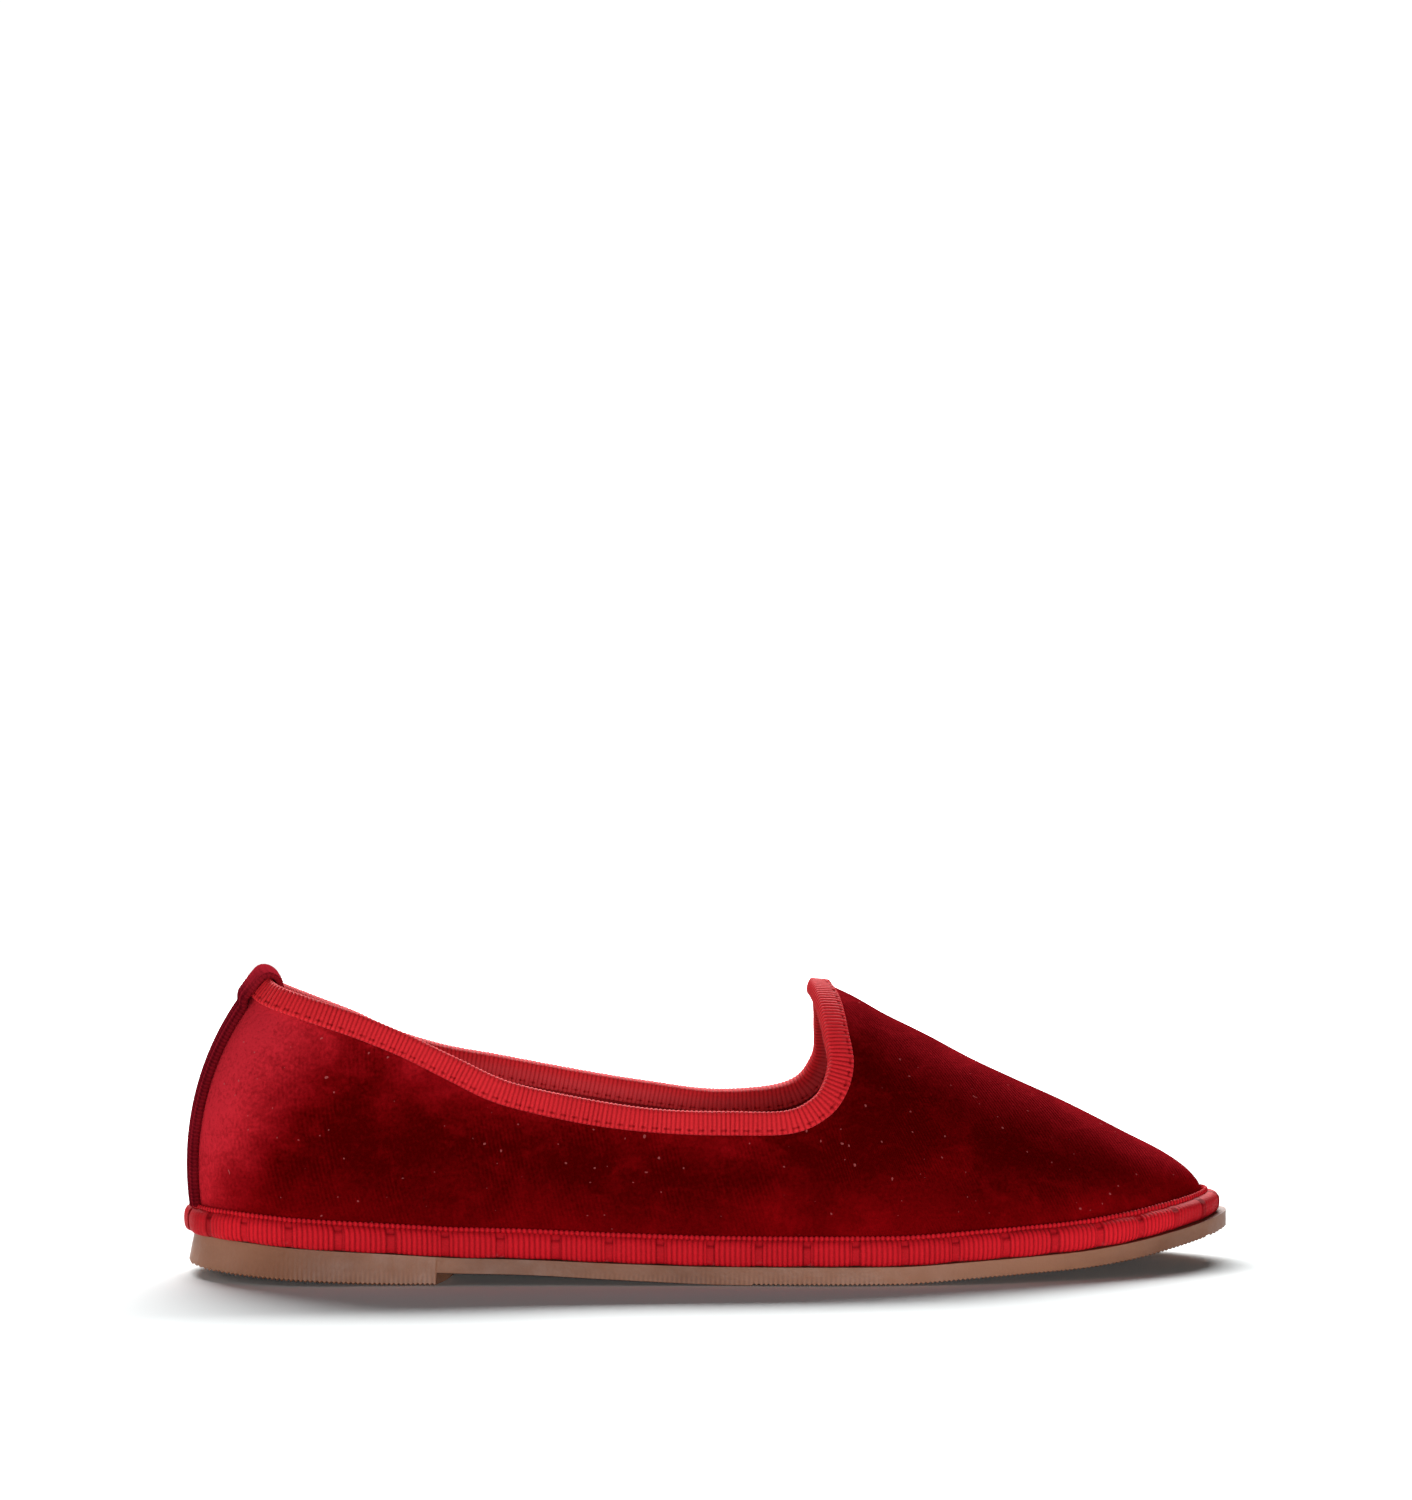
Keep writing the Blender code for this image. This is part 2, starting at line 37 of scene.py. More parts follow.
from functools import cache
from math import pi, radians

import bmesh
import bpy
import numpy as np
from bpy.props import FloatProperty, FloatVectorProperty, PointerProperty
from mathutils import Vector

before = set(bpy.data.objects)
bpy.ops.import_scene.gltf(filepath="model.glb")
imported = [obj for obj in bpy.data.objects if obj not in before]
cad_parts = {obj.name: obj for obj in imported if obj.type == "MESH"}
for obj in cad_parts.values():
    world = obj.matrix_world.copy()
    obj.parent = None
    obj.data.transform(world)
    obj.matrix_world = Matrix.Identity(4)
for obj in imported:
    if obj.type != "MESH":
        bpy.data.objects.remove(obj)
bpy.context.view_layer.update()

# Overall sizes
shoe_length = 0.2512
ball_width = 0.084
instep_height = 0.0681
clearance = 0.0003

# Outsole, one rubber moulding
plate_thickness = 0.0043
seat_rise = 0.0060
toe_spring = 0.0079
heel_rocker = 0.0028
heel_rocker_end = 0.200
heel_rocker_curve = 1.4
heel_breast = 0.2315
heel_breast_slant = 0.003
heel_breast_bow = 0.0056
heel_breast_fade = 0.050
sole_inset = 0.0024
sole_flare = 0.0014
sole_bevel = 0.0006

# Rand, the roll between outsole and upper
rand_height = 0.0058
rand_width = 0.0034
rand_toe_inset = 0.0019
rand_fullness = 2.5
rand_rows = (
    # along, height
    (0.000, 1.00),
    (0.840, 1.00),
    (0.940, 0.93),
    (1.000, 0.84),
)

# Upper and what is sewn on it
upper_wall = 0.0018
collar_back_height = 0.0700
last_top_rise = 0.0180
tongue_tip = 0.599
binding_width = 0.0047
binding_thickness = 0.0009
stay_width = 0.0210
stay_thickness = 0.0011
stay_inside_length = 0.0095
stay_ramp = 0.0020

# Insole
insole_thickness = 0.0034
insole_toe_thickness = 0.0016
insole_thinning_start = 0.600
insole_toe_inset = 0.0080
insole_side_gap = 0.0008

# Plan of the rand's outside: half width and swing to the inner side as shares of the ball width
heel_round = 0.135
heel_squareness = 2.25
toe_round = 0.300
toe_squareness = 1.75
plan_rows = (
    # along, half width, swing
    (0.000, 0.350, 0.000),
    (0.160, 0.362, 0.000),
    (0.300, 0.359, -0.027),
    (0.420, 0.374, -0.058),
    (0.550, 0.430, -0.052),
    (0.660, 0.486, -0.018),
    (0.740, 0.497, 0.006),
    (0.860, 0.486, 0.030),
    (1.000, 0.455, 0.058),
)

# The sole: shares of the seat rise, the toe spring, the plate's thickness, the edge's inset and its flare
sole_rows = (
    # along, seat, spring, thickness, inset, flare
    (0.000, 1.00, 0.00, 0.90, 1.00, 1.00),
    (0.050, 0.90, 0.00, 0.90, 0.80, 1.00),
    (0.100, 0.72, 0.00, 0.90, 0.60, 1.00),
    (0.200, 0.45, 0.00, 0.86, 0.35, 0.75),
    (0.250, 0.33, 0.00, 0.82, 0.25, 0.50),
    (0.300, 0.28, 0.00, 0.82, 0.17, 0.25),
    (0.395, 0.13, 0.00, 0.88, 0.17, 0.00),
    (0.490, 0.01, 0.00, 0.97, 0.17, 0.00),
    (0.560, 0.00, 0.00, 1.00, 0.17, 0.00),
    (0.650, 0.00, 0.00, 1.00, 0.17, 0.00),
    (0.730, 0.00, 0.12, 0.97, 0.17, 0.00),
    (0.780, 0.00, 0.19, 0.96, 0.17, 0.00),
    (0.830, 0.00, 0.26, 0.98, 0.17, 0.00),
    (0.876, 0.00, 0.39, 0.99, 0.17, 0.00),
    (0.930, 0.00, 0.63, 0.97, 0.12, 0.00),
    (1.000, 0.00, 1.00, 0.93, 0.00, 0.00),
)

# The last's top line: height as shares of the instep height, ahead of the tongue, and of the last's top
ridge_rows = (
    # along, instep share, last top share, swing to the inner side
    (0.200, 0.000, 1.000, 0.000),
    (0.360, 0.000, 0.950, 0.000),
    (0.480, 0.450, 0.520, 0.004),
    (0.560, 0.900, 0.112, 0.010),
    (0.605, 0.990, 0.000, 0.014),
    (0.626, 0.962, 0.000, 0.017),
    (0.667, 0.879, 0.000, 0.022),
    (0.706, 0.808, 0.000, 0.027),
    (0.750, 0.721, 0.000, 0.032),
    (0.794, 0.645, 0.000, 0.037),
    (0.840, 0.568, 0.000, 0.042),
    (0.905, 0.446, 0.000, 0.049),
    (0.939, 0.381, 0.000, 0.053),
    (0.960, 0.327, 0.000, 0.055),
    (0.974, 0.270, 0.000, 0.056),
)

# Cross-sections of the last: how far the top stands ahead of the foot, and the form of each side
section_rows = (
    # along, lean, squareness outer, squareness inner, bulge outer, bulge inner
    (0.000, 0.220, 2.30, 2.30, 0.058, 0.058),
    (0.050, 0.171, 2.30, 2.30, 0.066, 0.066),
    (0.160, 0.105, 2.30, 2.30, 0.080, 0.085),
    (0.300, 0.062, 2.25, 2.30, 0.075, 0.100),
    (0.450, 0.018, 2.15, 2.30, 0.065, 0.120),
    (0.580, 0.000, 2.00, 2.10, 0.055, 0.085),
    (0.700, 0.000, 1.85, 1.95, 0.045, 0.050),
    (0.850, 0.000, 1.80, 1.85, 0.040, 0.040),
    (0.940, 0.000, 1.85, 1.85, 0.030, 0.030),
    (1.000, -0.006, 2.00, 2.00, 0.020, 0.020),
)
bulge_skew = 0.8

# The collar's cut edge, heel to tongue: heights as shares of the instep height and of the collar's back
collar_rows_outer = (
    # along, instep share, back share
    (0.09, 0.00, 0.96),
    (0.15, 0.40, 0.50),
    (0.20, 0.48, 0.35),
    (0.25, 0.65, 0.10),
    (0.30, 0.67, 0.00),
    (0.36, 0.62, 0.00),
    (0.43, 0.58, 0.00),
    (0.50, 0.57, 0.00),
    (0.55, 0.57, 0.00),
    (0.58, 0.61, 0.00),
    (0.60, 0.72, 0.00),
    (0.60, 0.85, 0.00),
)
collar_rows_inner = (
    # along, instep share, back share
    (0.09, 0.00, 0.95),
    (0.15, 0.37, 0.50),
    (0.20, 0.46, 0.33),
    (0.25, 0.60, 0.14),
    (0.30, 0.71, 0.00),
    (0.37, 0.66, 0.00),
    (0.43, 0.62, 0.00),
    (0.50, 0.58, 0.00),
    (0.55, 0.58, 0.00),
    (0.59, 0.61, 0.00),
    (0.61, 0.70, 0.00),
    (0.61, 0.85, 0.00),
)

# How finely the shapes are made
ridge_crowding = 1.4
upper_foot_at_tongue = 0.700
wall_crowding = 1.6
curve_steps = 60
slope_step = 0.001
halvings = 36
snaps = 4
velvet_thickness = 0.0011
tread_start = 0.52
floor_half = 1.1
velvet_grid = (130, 70, 64)
lining_grid = (80, 40, 36)
tape_columns = 1100
rand_columns = 3200
cloth_gap = 0.0001
rand_gap = 0.00006
stay_sink = 0.00022
stay_cap_swell = 0.00025
stay_cap_start = 64
stay_cap_rows = 12
heel_columns = 300

# The photograph's camera
camera_place = (-0.1002, -0.9950, 0.1235)
camera_turn = 5.65
camera_lens = 100.26

# Lights
softboxes = (
    # name, place, aim, size, watts
    ("softbox back", (0.0, 1.32, 1.19), (0, 0.0, 0), (2.0, 0.6), 92),
    ("softbox front", (0.1, -1.5, 0.12), (0, 0, 0.03), (1.2, 0.18), 12.5),
    ("softbox left", (-1.0, -0.15, 0.40), (-0.10, 0, 0.03), (0.5, 0.7), 1.6),
)
floor_colour = (0.84, 0.87, 0.87)
sky_light = 0.03
sky_seen = 1.07

# Soft forms of the velvet: side, along, height, length and tallness as shares, lean, depth
soft_forms = (
    # side, along, height, length, tallness, lean, depth
    (-1, 0.300, 0.250, 0.060, 0.080, 0.45, 0.0007),
    (-1, 0.365, 0.290, 0.050, 0.070, 0.55, -0.0006),
    (-1, 0.440, 0.240, 0.060, 0.080, 0.50, 0.0006),
    (-1, 0.520, 0.330, 0.045, 0.110, 0.10, -0.0009),
    (-1, 0.590, 0.260, 0.050, 0.100, -0.20, 0.0007),
    (-1, 0.180, 0.200, 0.050, 0.090, 0.30, 0.0006),
    (-1, 0.700, 0.300, 0.070, 0.140, -0.30, 0.0006),
    (1, 0.320, 0.270, 0.060, 0.090, 0.40, 0.0007),
    (1, 0.430, 0.330, 0.055, 0.090, 0.30, -0.0006),
    (1, 0.560, 0.260, 0.060, 0.100, -0.20, 0.0008),
    (1, 0.720, 0.300, 0.070, 0.120, -0.30, -0.0006),
)

OUTER, INNER = -1, 1


@cache
def table_curve(rows, column):
    """A table's places, one column's values and the tangents of a curve that never overshoots them."""
    table = np.array(rows, float)
    known, values = table[:, 0], table[:, column]
    gaps = np.diff(known)
    slopes = np.diff(values) / gaps
    tangents = np.zeros(len(known))
    tangents[0], tangents[-1] = slopes[0], slopes[-1]
    for i in range(1, len(known) - 1):
        before, after = slopes[i - 1], slopes[i]
        if before * after > 0:
            first, second = 2 * gaps[i] + gaps[i - 1], gaps[i] + 2 * gaps[i - 1]
            tangents[i] = (first + second) / (first / before + second / after)
    return known, values, gaps, tangents


def smooth(rows, column, places):
    """A column of a table read at any place."""
    known, values, gaps, tangents = table_curve(rows, column)
    places = np.clip(np.asarray(places, float), known[0], known[-1])
    i = np.clip(np.searchsorted(known, places, side="right") - 1, 0, len(gaps) - 1)
    t = (places - known[i]) / gaps[i]
    rise = values[i + 1] - values[i]
    bend_in = tangents[i] * gaps[i] - rise
    bend_out = rise - tangents[i + 1] * gaps[i]
    return values[i] + t * rise + t * (1 - t) * ((1 - t) * bend_in + t * bend_out)


def unit(vectors):
    return vectors / np.linalg.norm(vectors, axis=-1, keepdims=True)


def find(reached, wanted):
    """The turn, from 0 to 1, at which a rising measure reaches what is wanted, found by halving."""
    low, high = 0.0, 1.0
    for _ in range(halvings):
        middle = (low + high) / 2
        low, high = (middle, high) if reached(middle) < wanted else (low, middle)
    return middle


def along_of(turn):
    """Share of the length at a turn from 0, the back of the heel, to 1, the toe, close-set at both ends."""
    return (1 - np.cos(pi * np.asarray(turn, float))) / 2


def turn_of(along):
    return float(np.arccos(1 - 2 * along) / pi)


def share_along(x):
    return np.asarray(x, float) / shoe_length + 0.5


def half_width(along):
    heel = np.clip(1 - along / heel_round, 0, 1)
    toe = np.clip(1 - (1 - along) / toe_round, 0, 1)
    rounding = (1 - heel**heel_squareness) ** (1 / heel_squareness) * np.sqrt(1 - toe**toe_squareness)
    return smooth(plan_rows, 1, along) * rounding * ball_width


def edge_distance(along, side):
    """How far the plan reaches to one side of the heel's centre line."""
    return half_width(along) + side * smooth(plan_rows, 2, along) * ball_width


def middle_of_plan():
    """The sideways place halfway between the plan's widest reaches."""
    along = np.linspace(0, 1, 801)
    return (edge_distance(along, INNER).max() - edge_distance(along, OUTER).max()) / 2


plan_middle = middle_of_plan()


def plan_point(around, front, inset):
    """The plan at around: -1 at the toe, along the outer side to 0 at the heel, by the inner side to 1."""
    around = np.asarray(around, float)

    def on_edge(where):
        where = (where + 1) % 2 - 1
        along, side = along_of(np.abs(where)), np.where(where < 0, OUTER, INNER)
        across = side * edge_distance(along, side) - plan_middle
        return np.stack([along * front - shoe_length / 2, across], -1)

    way = unit(on_edge(around + slope_step) - on_edge(around - slope_step))
    inward = np.stack([way[..., 1], -way[..., 0]], -1)
    return on_edge(around) + inward * np.asarray(inset, float)[..., None]


def rand_plan(around, inset):
    return plan_point(around, shoe_length - rand_toe_inset, inset)


def sole_top(x):
    along = share_along(x)
    rise = smooth(sole_rows, 1, along) * seat_rise
    return plate_thickness + rise + smooth(sole_rows, 2, along) * toe_spring


def on_height(plan, height):
    return np.concatenate([plan[..., :2], np.broadcast_to(height, plan.shape[:-1])[..., None]], -1)


def over_sole(plan, height):
    """Points of a plan at a height over the sole's top, which is not flat."""
    return on_height(plan, sole_top(plan[..., 0]) + height)


def ridge_point(along):
    """The last's top line, from the ankle over the instep to the toe."""
    height = smooth(ridge_rows, 1, along) * instep_height
    height = height + smooth(ridge_rows, 2, along) * (collar_back_height + last_top_rise)
    swing = smooth(ridge_rows, 3, along) * ball_width - plan_middle
    return np.stack([(along - 0.5) * shoe_length, swing, height], -1)


def section(around):
    """A cross-section's foot on the sole, its top on the ridge, and its squareness and bulge."""
    foot = over_sole(rand_plan(around, rand_width + clearance), clearance)
    along = along_of(np.abs(around))
    top_along = share_along(foot[..., 0]) + smooth(section_rows, 1, along)
    top = ridge_point(np.clip(top_along, ridge_rows[0][0], ridge_rows[-1][0]))
    outer = np.asarray(around) < 0
    squareness = np.where(outer, smooth(section_rows, 2, along), smooth(section_rows, 3, along))
    bulge = np.where(outer, smooth(section_rows, 4, along), smooth(section_rows, 5, along))
    return foot, top, squareness, bulge


def skin(around, climb):
    """A point of the last's skin, climbing from 0, its foot on the sole, to 1, its top line."""
    foot, top, squareness, bulge = section(around)
    angle = np.clip(climb, 0, 1) * pi / 2
    up = np.clip(np.sin(angle), 0, 1) ** (2 / squareness)
    inward = 1 - np.clip(np.cos(angle), 0, 1) ** (2 / squareness) - bulge * np.sin(pi * up**bulge_skew)
    return foot + (top - foot) * np.stack([inward, inward, up], -1)


def climb_at(around, height):
    """How far up a section the skin reaches a height."""
    foot, top, squareness, _ = section(around)
    up = np.clip((height - foot[..., 2]) / (top[..., 2] - foot[..., 2]), 0, 1)
    return np.arcsin(up ** (squareness / 2)) * 2 / pi


def fold_over(around, climb):
    """Places past the top line, carried on down the other side."""
    past = climb > 1
    return np.where(past, -around, around), np.where(past, 2 - climb, climb)


def skin_slopes(around, climb):
    """The skin's two tangents, along the shoe and up the wall."""
    ahead, behind = skin(around + slope_step, climb), skin(around - slope_step, climb)
    above = skin(*fold_over(around, climb + slope_step))
    below = skin(around, np.maximum(climb - slope_step, 0))
    rise = slope_step + np.minimum(climb, slope_step)
    return (ahead - behind) / (2 * slope_step), (above - below) / rise[..., None]


def skin_normal(around, climb):
    along_way, up_way = skin_slopes(around, climb)
    return unit(np.cross(up_way, along_way))


def snap_to_skin(points, around, climb):
    """The places on the skin nearest to points, from a first guess."""
    for _ in range(snaps):
        along_way, up_way = skin_slopes(around, climb)
        miss = points - skin(around, climb)
        aa, ab, bb = (along_way**2).sum(-1), (along_way * up_way).sum(-1), (up_way**2).sum(-1)
        ma, mb = (miss * along_way).sum(-1), (miss * up_way).sum(-1)
        spread = aa * bb - ab**2
        around = around + (ma * bb - mb * ab) / spread
        climb = climb + (mb * aa - ma * ab) / spread
        around, climb = fold_over(around, np.maximum(climb, 0))
    return around, climb


def mix(first, second, start, end, t):
    return ((end - t) * first + (t - start) * second) / (end - start)


def curve_through(points, steps):
    """A smooth curve through all but the first and last of the points, which only steer its ends."""
    points = np.array(points, float)
    knots = np.concatenate([[0], np.cumsum(np.sqrt(np.linalg.norm(np.diff(points, axis=0), axis=1)))])
    pieces = []
    for i in range(1, len(points) - 2):
        k0, k1, k2, k3 = knots[i - 1 : i + 3]
        p0, p1, p2, p3 = points[i - 1 : i + 3]
        t = np.linspace(k1, k2, steps, endpoint=False)[:, None]
        first, second, third = mix(p0, p1, k0, k1, t), mix(p1, p2, k1, k2, t), mix(p2, p3, k2, k3, t)
        pieces.append(mix(mix(first, second, k0, k2, t), mix(second, third, k1, k3, t), k1, k2, t))
    return np.concatenate(pieces + [points[-2:-1]])


def collar_places(rows, side):
    """The collar's rows on the skin, heel to tongue, as turn and climb."""
    places = [(0.0, float(climb_at(0.0, collar_back_height)))]
    for along, instep_share, back_share in rows:
        height = instep_share * instep_height + back_share * collar_back_height
        x = (along - 0.5) * shoe_length
        turn = find(lambda turn: skin(side * turn, climb_at(side * turn, height))[0], x)
        places.append((turn, float(climb_at(side * turn, height))))
    return places + [(tongue_turn, 1.0)]


@cache
def collar_curve(side, count):
    """One side of the collar from heel to tongue, as around and climb."""
    own = collar_places(collar_rows[side], side)
    other = collar_places(collar_rows[-side], -side)
    before = (-other[1][0], other[1][1])
    after = (other[-2][0], 2 - other[-2][1])
    curve = curve_through([before] + own + [after], curve_steps)
    return spaced_out(curve[:, 0] * side, curve[:, 1], count)


def spaced_out(around, climb, count):
    """A curve on the skin at places set evenly along it."""
    reach = reach_of(skin(around, climb))
    wanted = np.linspace(0, reach[-1], count + 1)
    return np.interp(wanted, reach, around), np.interp(wanted, reach, climb)


collar_rows = {OUTER: collar_rows_outer, INNER: collar_rows_inner}
tongue_turn = find(lambda turn: section(turn)[1][0], (tongue_tip - 0.5) * shoe_length)


def grid_piece(name, points, finish, masks=None, shell=0.0, shell_offset=-1.0):
    """A sheet through rows of points, one list of columns a row, with its masks as attributes."""
    rows, columns = points.shape[0] - 1, points.shape[1] - 1
    bm = bmesh.new()
    bmesh.ops.create_grid(bm, x_segments=columns, y_segments=rows, size=1)
    layers = {mask: bm.verts.layers.float.new(mask) for mask in masks or {}}
    for vertex in bm.verts:
        column = round((vertex.co.x + 1) / 2 * columns)
        row = round((vertex.co.y + 1) / 2 * rows)
        vertex.co = points[row, column]
        for mask, layer in layers.items():
            vertex[layer] = masks[mask][row, column]
    bmesh.ops.remove_doubles(bm, verts=bm.verts, dist=0.000008)
    if not shell:
        bmesh.ops.recalc_face_normals(bm, faces=bm.faces)
    mesh = bpy.data.meshes.new(name)
    bm.to_mesh(mesh)
    bm.free()
    mesh.shade_smooth()
    mesh.materials.append(finish)
    piece = bpy.data.objects.new(name, mesh)
    bpy.context.scene.collection.objects.link(piece)
    if shell:
        thicken = piece.modifiers.new("thickness", "SOLIDIFY")
        thicken.thickness = shell
        thicken.offset = shell_offset
    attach(piece, "root")
    return piece


def find_each(reached, wanted):
    """The turns at which a rising measure reaches each of the wanted values."""
    low, high = np.zeros_like(wanted), np.ones_like(wanted)
    for _ in range(halvings):
        middle = (low + high) / 2
        short = reached(middle) < wanted
        low, high = np.where(short, middle, low), np.where(short, high, middle)
    return middle


def bell(distance):
    return np.exp(-(distance**2))


def step_between(low, high, value):
    t = np.clip((value - low) / (high - low), 0, 1)
    return t * t * (3 - 2 * t)


def reach_of(points):
    """Distance run along a row of points."""
    return np.concatenate([[0], np.cumsum(np.linalg.norm(np.diff(points, axis=0), axis=1))])


class Number:
    """A shader value that works in Python's sums."""

    def __init__(self, tree, socket):
        self.tree, self.socket = tree, socket

    def sum_of(self, operation, first, second=0.0):
        node = self.tree.nodes.new("ShaderNodeMath")
        node.operation = operation
        plug(self.tree, first, node.inputs[0])
        plug(self.tree, second, node.inputs[1])
        return Number(self.tree, node.outputs[0])

    def __add__(self, other):
        return self.sum_of("ADD", self, other)

    def __sub__(self, other):
        return self.sum_of("SUBTRACT", self, other)

    def __rsub__(self, other):
        return self.sum_of("SUBTRACT", other, self)

    def __mul__(self, other):
        return self.sum_of("MULTIPLY", self, other)

    def __truediv__(self, other):
        return self.sum_of("DIVIDE", self, other)

    def __pow__(self, other):
        return self.sum_of("POWER", self, other)

    def __gt__(self, other):
        return self.sum_of("GREATER_THAN", self, other)

    def sine(self):
        return self.sum_of("SINE", self)

    __radd__ = __add__
    __rmul__ = __mul__


def plug(tree, value, socket):
    if isinstance(value, Number):
        tree.links.new(value.socket, socket)
    elif isinstance(value, bpy.types.NodeSocket):
        tree.links.new(value, socket)
    else:
        socket.default_value = value


class Finish:
    """A material under construction."""

    def __init__(self, name):
        self.material = bpy.data.materials.new(name)
        self.material.use_nodes = True
        self.tree = self.material.node_tree
        self.shader = self.tree.nodes["Principled BSDF"]
        self.place = self.node("ShaderNodeTexCoord").outputs["Object"]

    def node(self, kind, settings=None, values=None):
        node = self.tree.nodes.new(kind)
        for setting, value in (settings or {}).items():
            setattr(node, setting, value)
        for socket, value in (values or {}).items():
            plug(self.tree, value, node.inputs[socket])
        return node

    def mask(self, name):
        node = self.node("ShaderNodeAttribute", {"attribute_name": name})
        return Number(self.tree, node.outputs["Fac"])

    def noise(self, size, detail=2.0, place=None, distortion=0.0):
        """Noise from about 0 to 1 whose patches are about one size across."""
        values = {"Vector": place or self.place, "Scale": 1 / size, "Detail": detail}
        values["Distortion"] = distortion
        return Number(self.tree, self.node("ShaderNodeTexNoise", None, values).outputs["Fac"])

    def stretched(self, stretch, turn=(0, 0, 0)):
        values = {"Vector": self.place, "Scale": stretch, "Rotation": turn}
        return self.node("ShaderNodeMapping", None, values).outputs["Vector"]

    def spread(self, value, low, high, out_low=0.0, out_high=1.0):
        values = {"Value": value, "From Min": low, "From Max": high, "To Min": out_low, "To Max": out_high}
        node = self.node("ShaderNodeMapRange", {"interpolation_type": "SMOOTHSTEP"}, values)
        return Number(self.tree, node.outputs["Result"])

    def up(self):
        return Number(self.tree, self.node("ShaderNodeSeparateXYZ", None, {0: self.place}).outputs["Z"])

    def facing(self, way):
        """How far the surface faces a way of the shoe's own, from -1 to 1."""
        normal = self.node("ShaderNodeNewGeometry").outputs["Normal"]
        values = {0: normal, 1: tuple(Vector(way).normalized())}
        node = self.node("ShaderNodeVectorMath", {"operation": "DOT_PRODUCT"}, values)
        return Number(self.tree, node.outputs["Value"])

    def mixed(self, factor, first, second):
        node = self.node("ShaderNodeMix", {"data_type": "RGBA"})
        plug(self.tree, factor, node.inputs["Factor"])
        ends = [socket for socket in node.inputs if socket.type == "RGBA"]
        for end, colour in zip(ends, (first, second)):
            plug(self.tree, colour if isinstance(colour, bpy.types.NodeSocket) else (*colour, 1), end)
        return [socket for socket in node.outputs if socket.type == "RGBA"][0]

    def bump(self, height, depth):
        values = {"Height": height, "Distance": depth, "Strength": 1.0}
        return self.node("ShaderNodeBump", None, values).outputs[0]

    def done(self, colour, roughness, normal=None, **constants):
        colour = colour if isinstance(colour, bpy.types.NodeSocket) else (*colour, 1)
        plug(self.tree, colour, self.shader.inputs["Base Color"])
        plug(self.tree, roughness, self.shader.inputs["Roughness"])
        if normal is not None:
            plug(self.tree, normal, self.shader.inputs["Normal"])
        for socket, value in constants.items():
            self.shader.inputs[socket.replace("_", " ")].default_value = value
        return self.material


def velvet_finish(looks):
    """Short crushed pile, dark, in soft patches, with painted highlights where it faces the left softbox and
    along its top, and a painted lighter band near the sole.
    """
    f = Finish("velvet")
    patches = f.noise(0.030, 3.0, f.stretched((1, 1, 1.6)), 0.6)
    crushed = f.noise(0.009, 4.0, f.stretched((1, 1, 1.5), (0, radians(-30), 0)), 1.2)
    brushed = f.noise(0.0045, 3.0, f.stretched((1, 1, 0.35), (0, radians(28), 0)), 0.8)
    grain = f.noise(0.0008, 2.0)
    rows = ((f.mask("run") * 0.97 + f.mask("rise") * 0.22) * (2 * pi / looks.velvet_row)).sine()
    row_patches = f.spread(f.noise(0.012, 2.0), 0.35, 0.7)
    # Painted highlight where the surface faces up, along the top line.
    painted_top_highlight = f.spread(f.facing((0.25, -0.10, 1)), 0.70, 0.99)
    raised = f.up() / instep_height
    brushing = (patches - 0.5) * 0.30 + (crushed - 0.5) * 0.18
    # Painted highlight: lighter where the surface faces the left softbox, more so higher up, broken by the
    # pile's patches; it stands in for the pile's sheen.
    heel = f.spread(f.facing((-1, -0.12, 0.25)) + brushing + raised * 0.85, 0.54, 1.48)
    nap = f.spread(patches, 0.40, 0.80, 0, 0.16) + f.spread(crushed, 0.45, 0.80, 0, 0.12)
    nap = nap + f.spread(brushed, 0.50, 0.80, 0, 0.14) * f.mask("low")
    # The pile's rows show more under the painted top highlight.
    rows = rows * (row_patches * 0.05 + painted_top_highlight * 0.10)
    # A painted lighter band near the sole stands in for light from the floor; the grain shows more under the
    # heel highlight.
    light = heel + nap + f.mask("low") * 0.19 + painted_top_highlight * 0.22 + rows + (grain - 0.5) * (heel * 1.1 + 0.30)
    # Painted lit colour where the heel and top highlights fall.
    lit = f.mixed(heel + painted_top_highlight * 0.7, looks.velvet_mid, looks.velvet_painted_highlight)
    colour = f.mixed(light, looks.velvet_deep, lit)
    specks = f.spread(f.noise(0.0011, 0.0), 0.835, 0.855)
    colour = f.mixed(specks * 0.5, colour, (0.50, 0.12, 0.12))
    height = rows * 4 + grain * 1.1 + crushed * 1.6
    return f.done(
        colour, 0.85, f.bump(height, 0.00016),
        Sheen_Weight=looks.sheen, Sheen_Roughness=0.30, Sheen_Tint=(1, 0.05, 0.09, 1), Specular_IOR_Level=0.0,
    )


def stay_finish(looks):
    """The strip's pile: fine rows across, darker beside the raised edge line, with a painted highlight on
    that line, at the rims and over the cap.
    """
    f = Finish("stay velvet")
    grain = f.noise(0.0007, 2.0)
    patches = f.noise(0.010, 3.0)
    rows = (f.mask("rise") * (2 * pi / 0.0009)).sine()
    # Painted highlight on the raised edge line, the rims and the cap.
    light = f.spread(patches, 0.3, 0.8, 0, 0.25) + rows * 0.13 + (grain - 0.5) * 0.4 + f.mask("edge") * 0.75
    colour = f.mixed(light, looks.stay_deep, looks.stay_lit)
    return f.done(
        colour, 0.85, f.bump(grain + rows * 0.5, 0.00014),
        Sheen_Weight=0.12, Sheen_Roughness=0.35, Sheen_Tint=(1, 0.05, 0.10, 1), Specular_IOR_Level=0.0,
    )


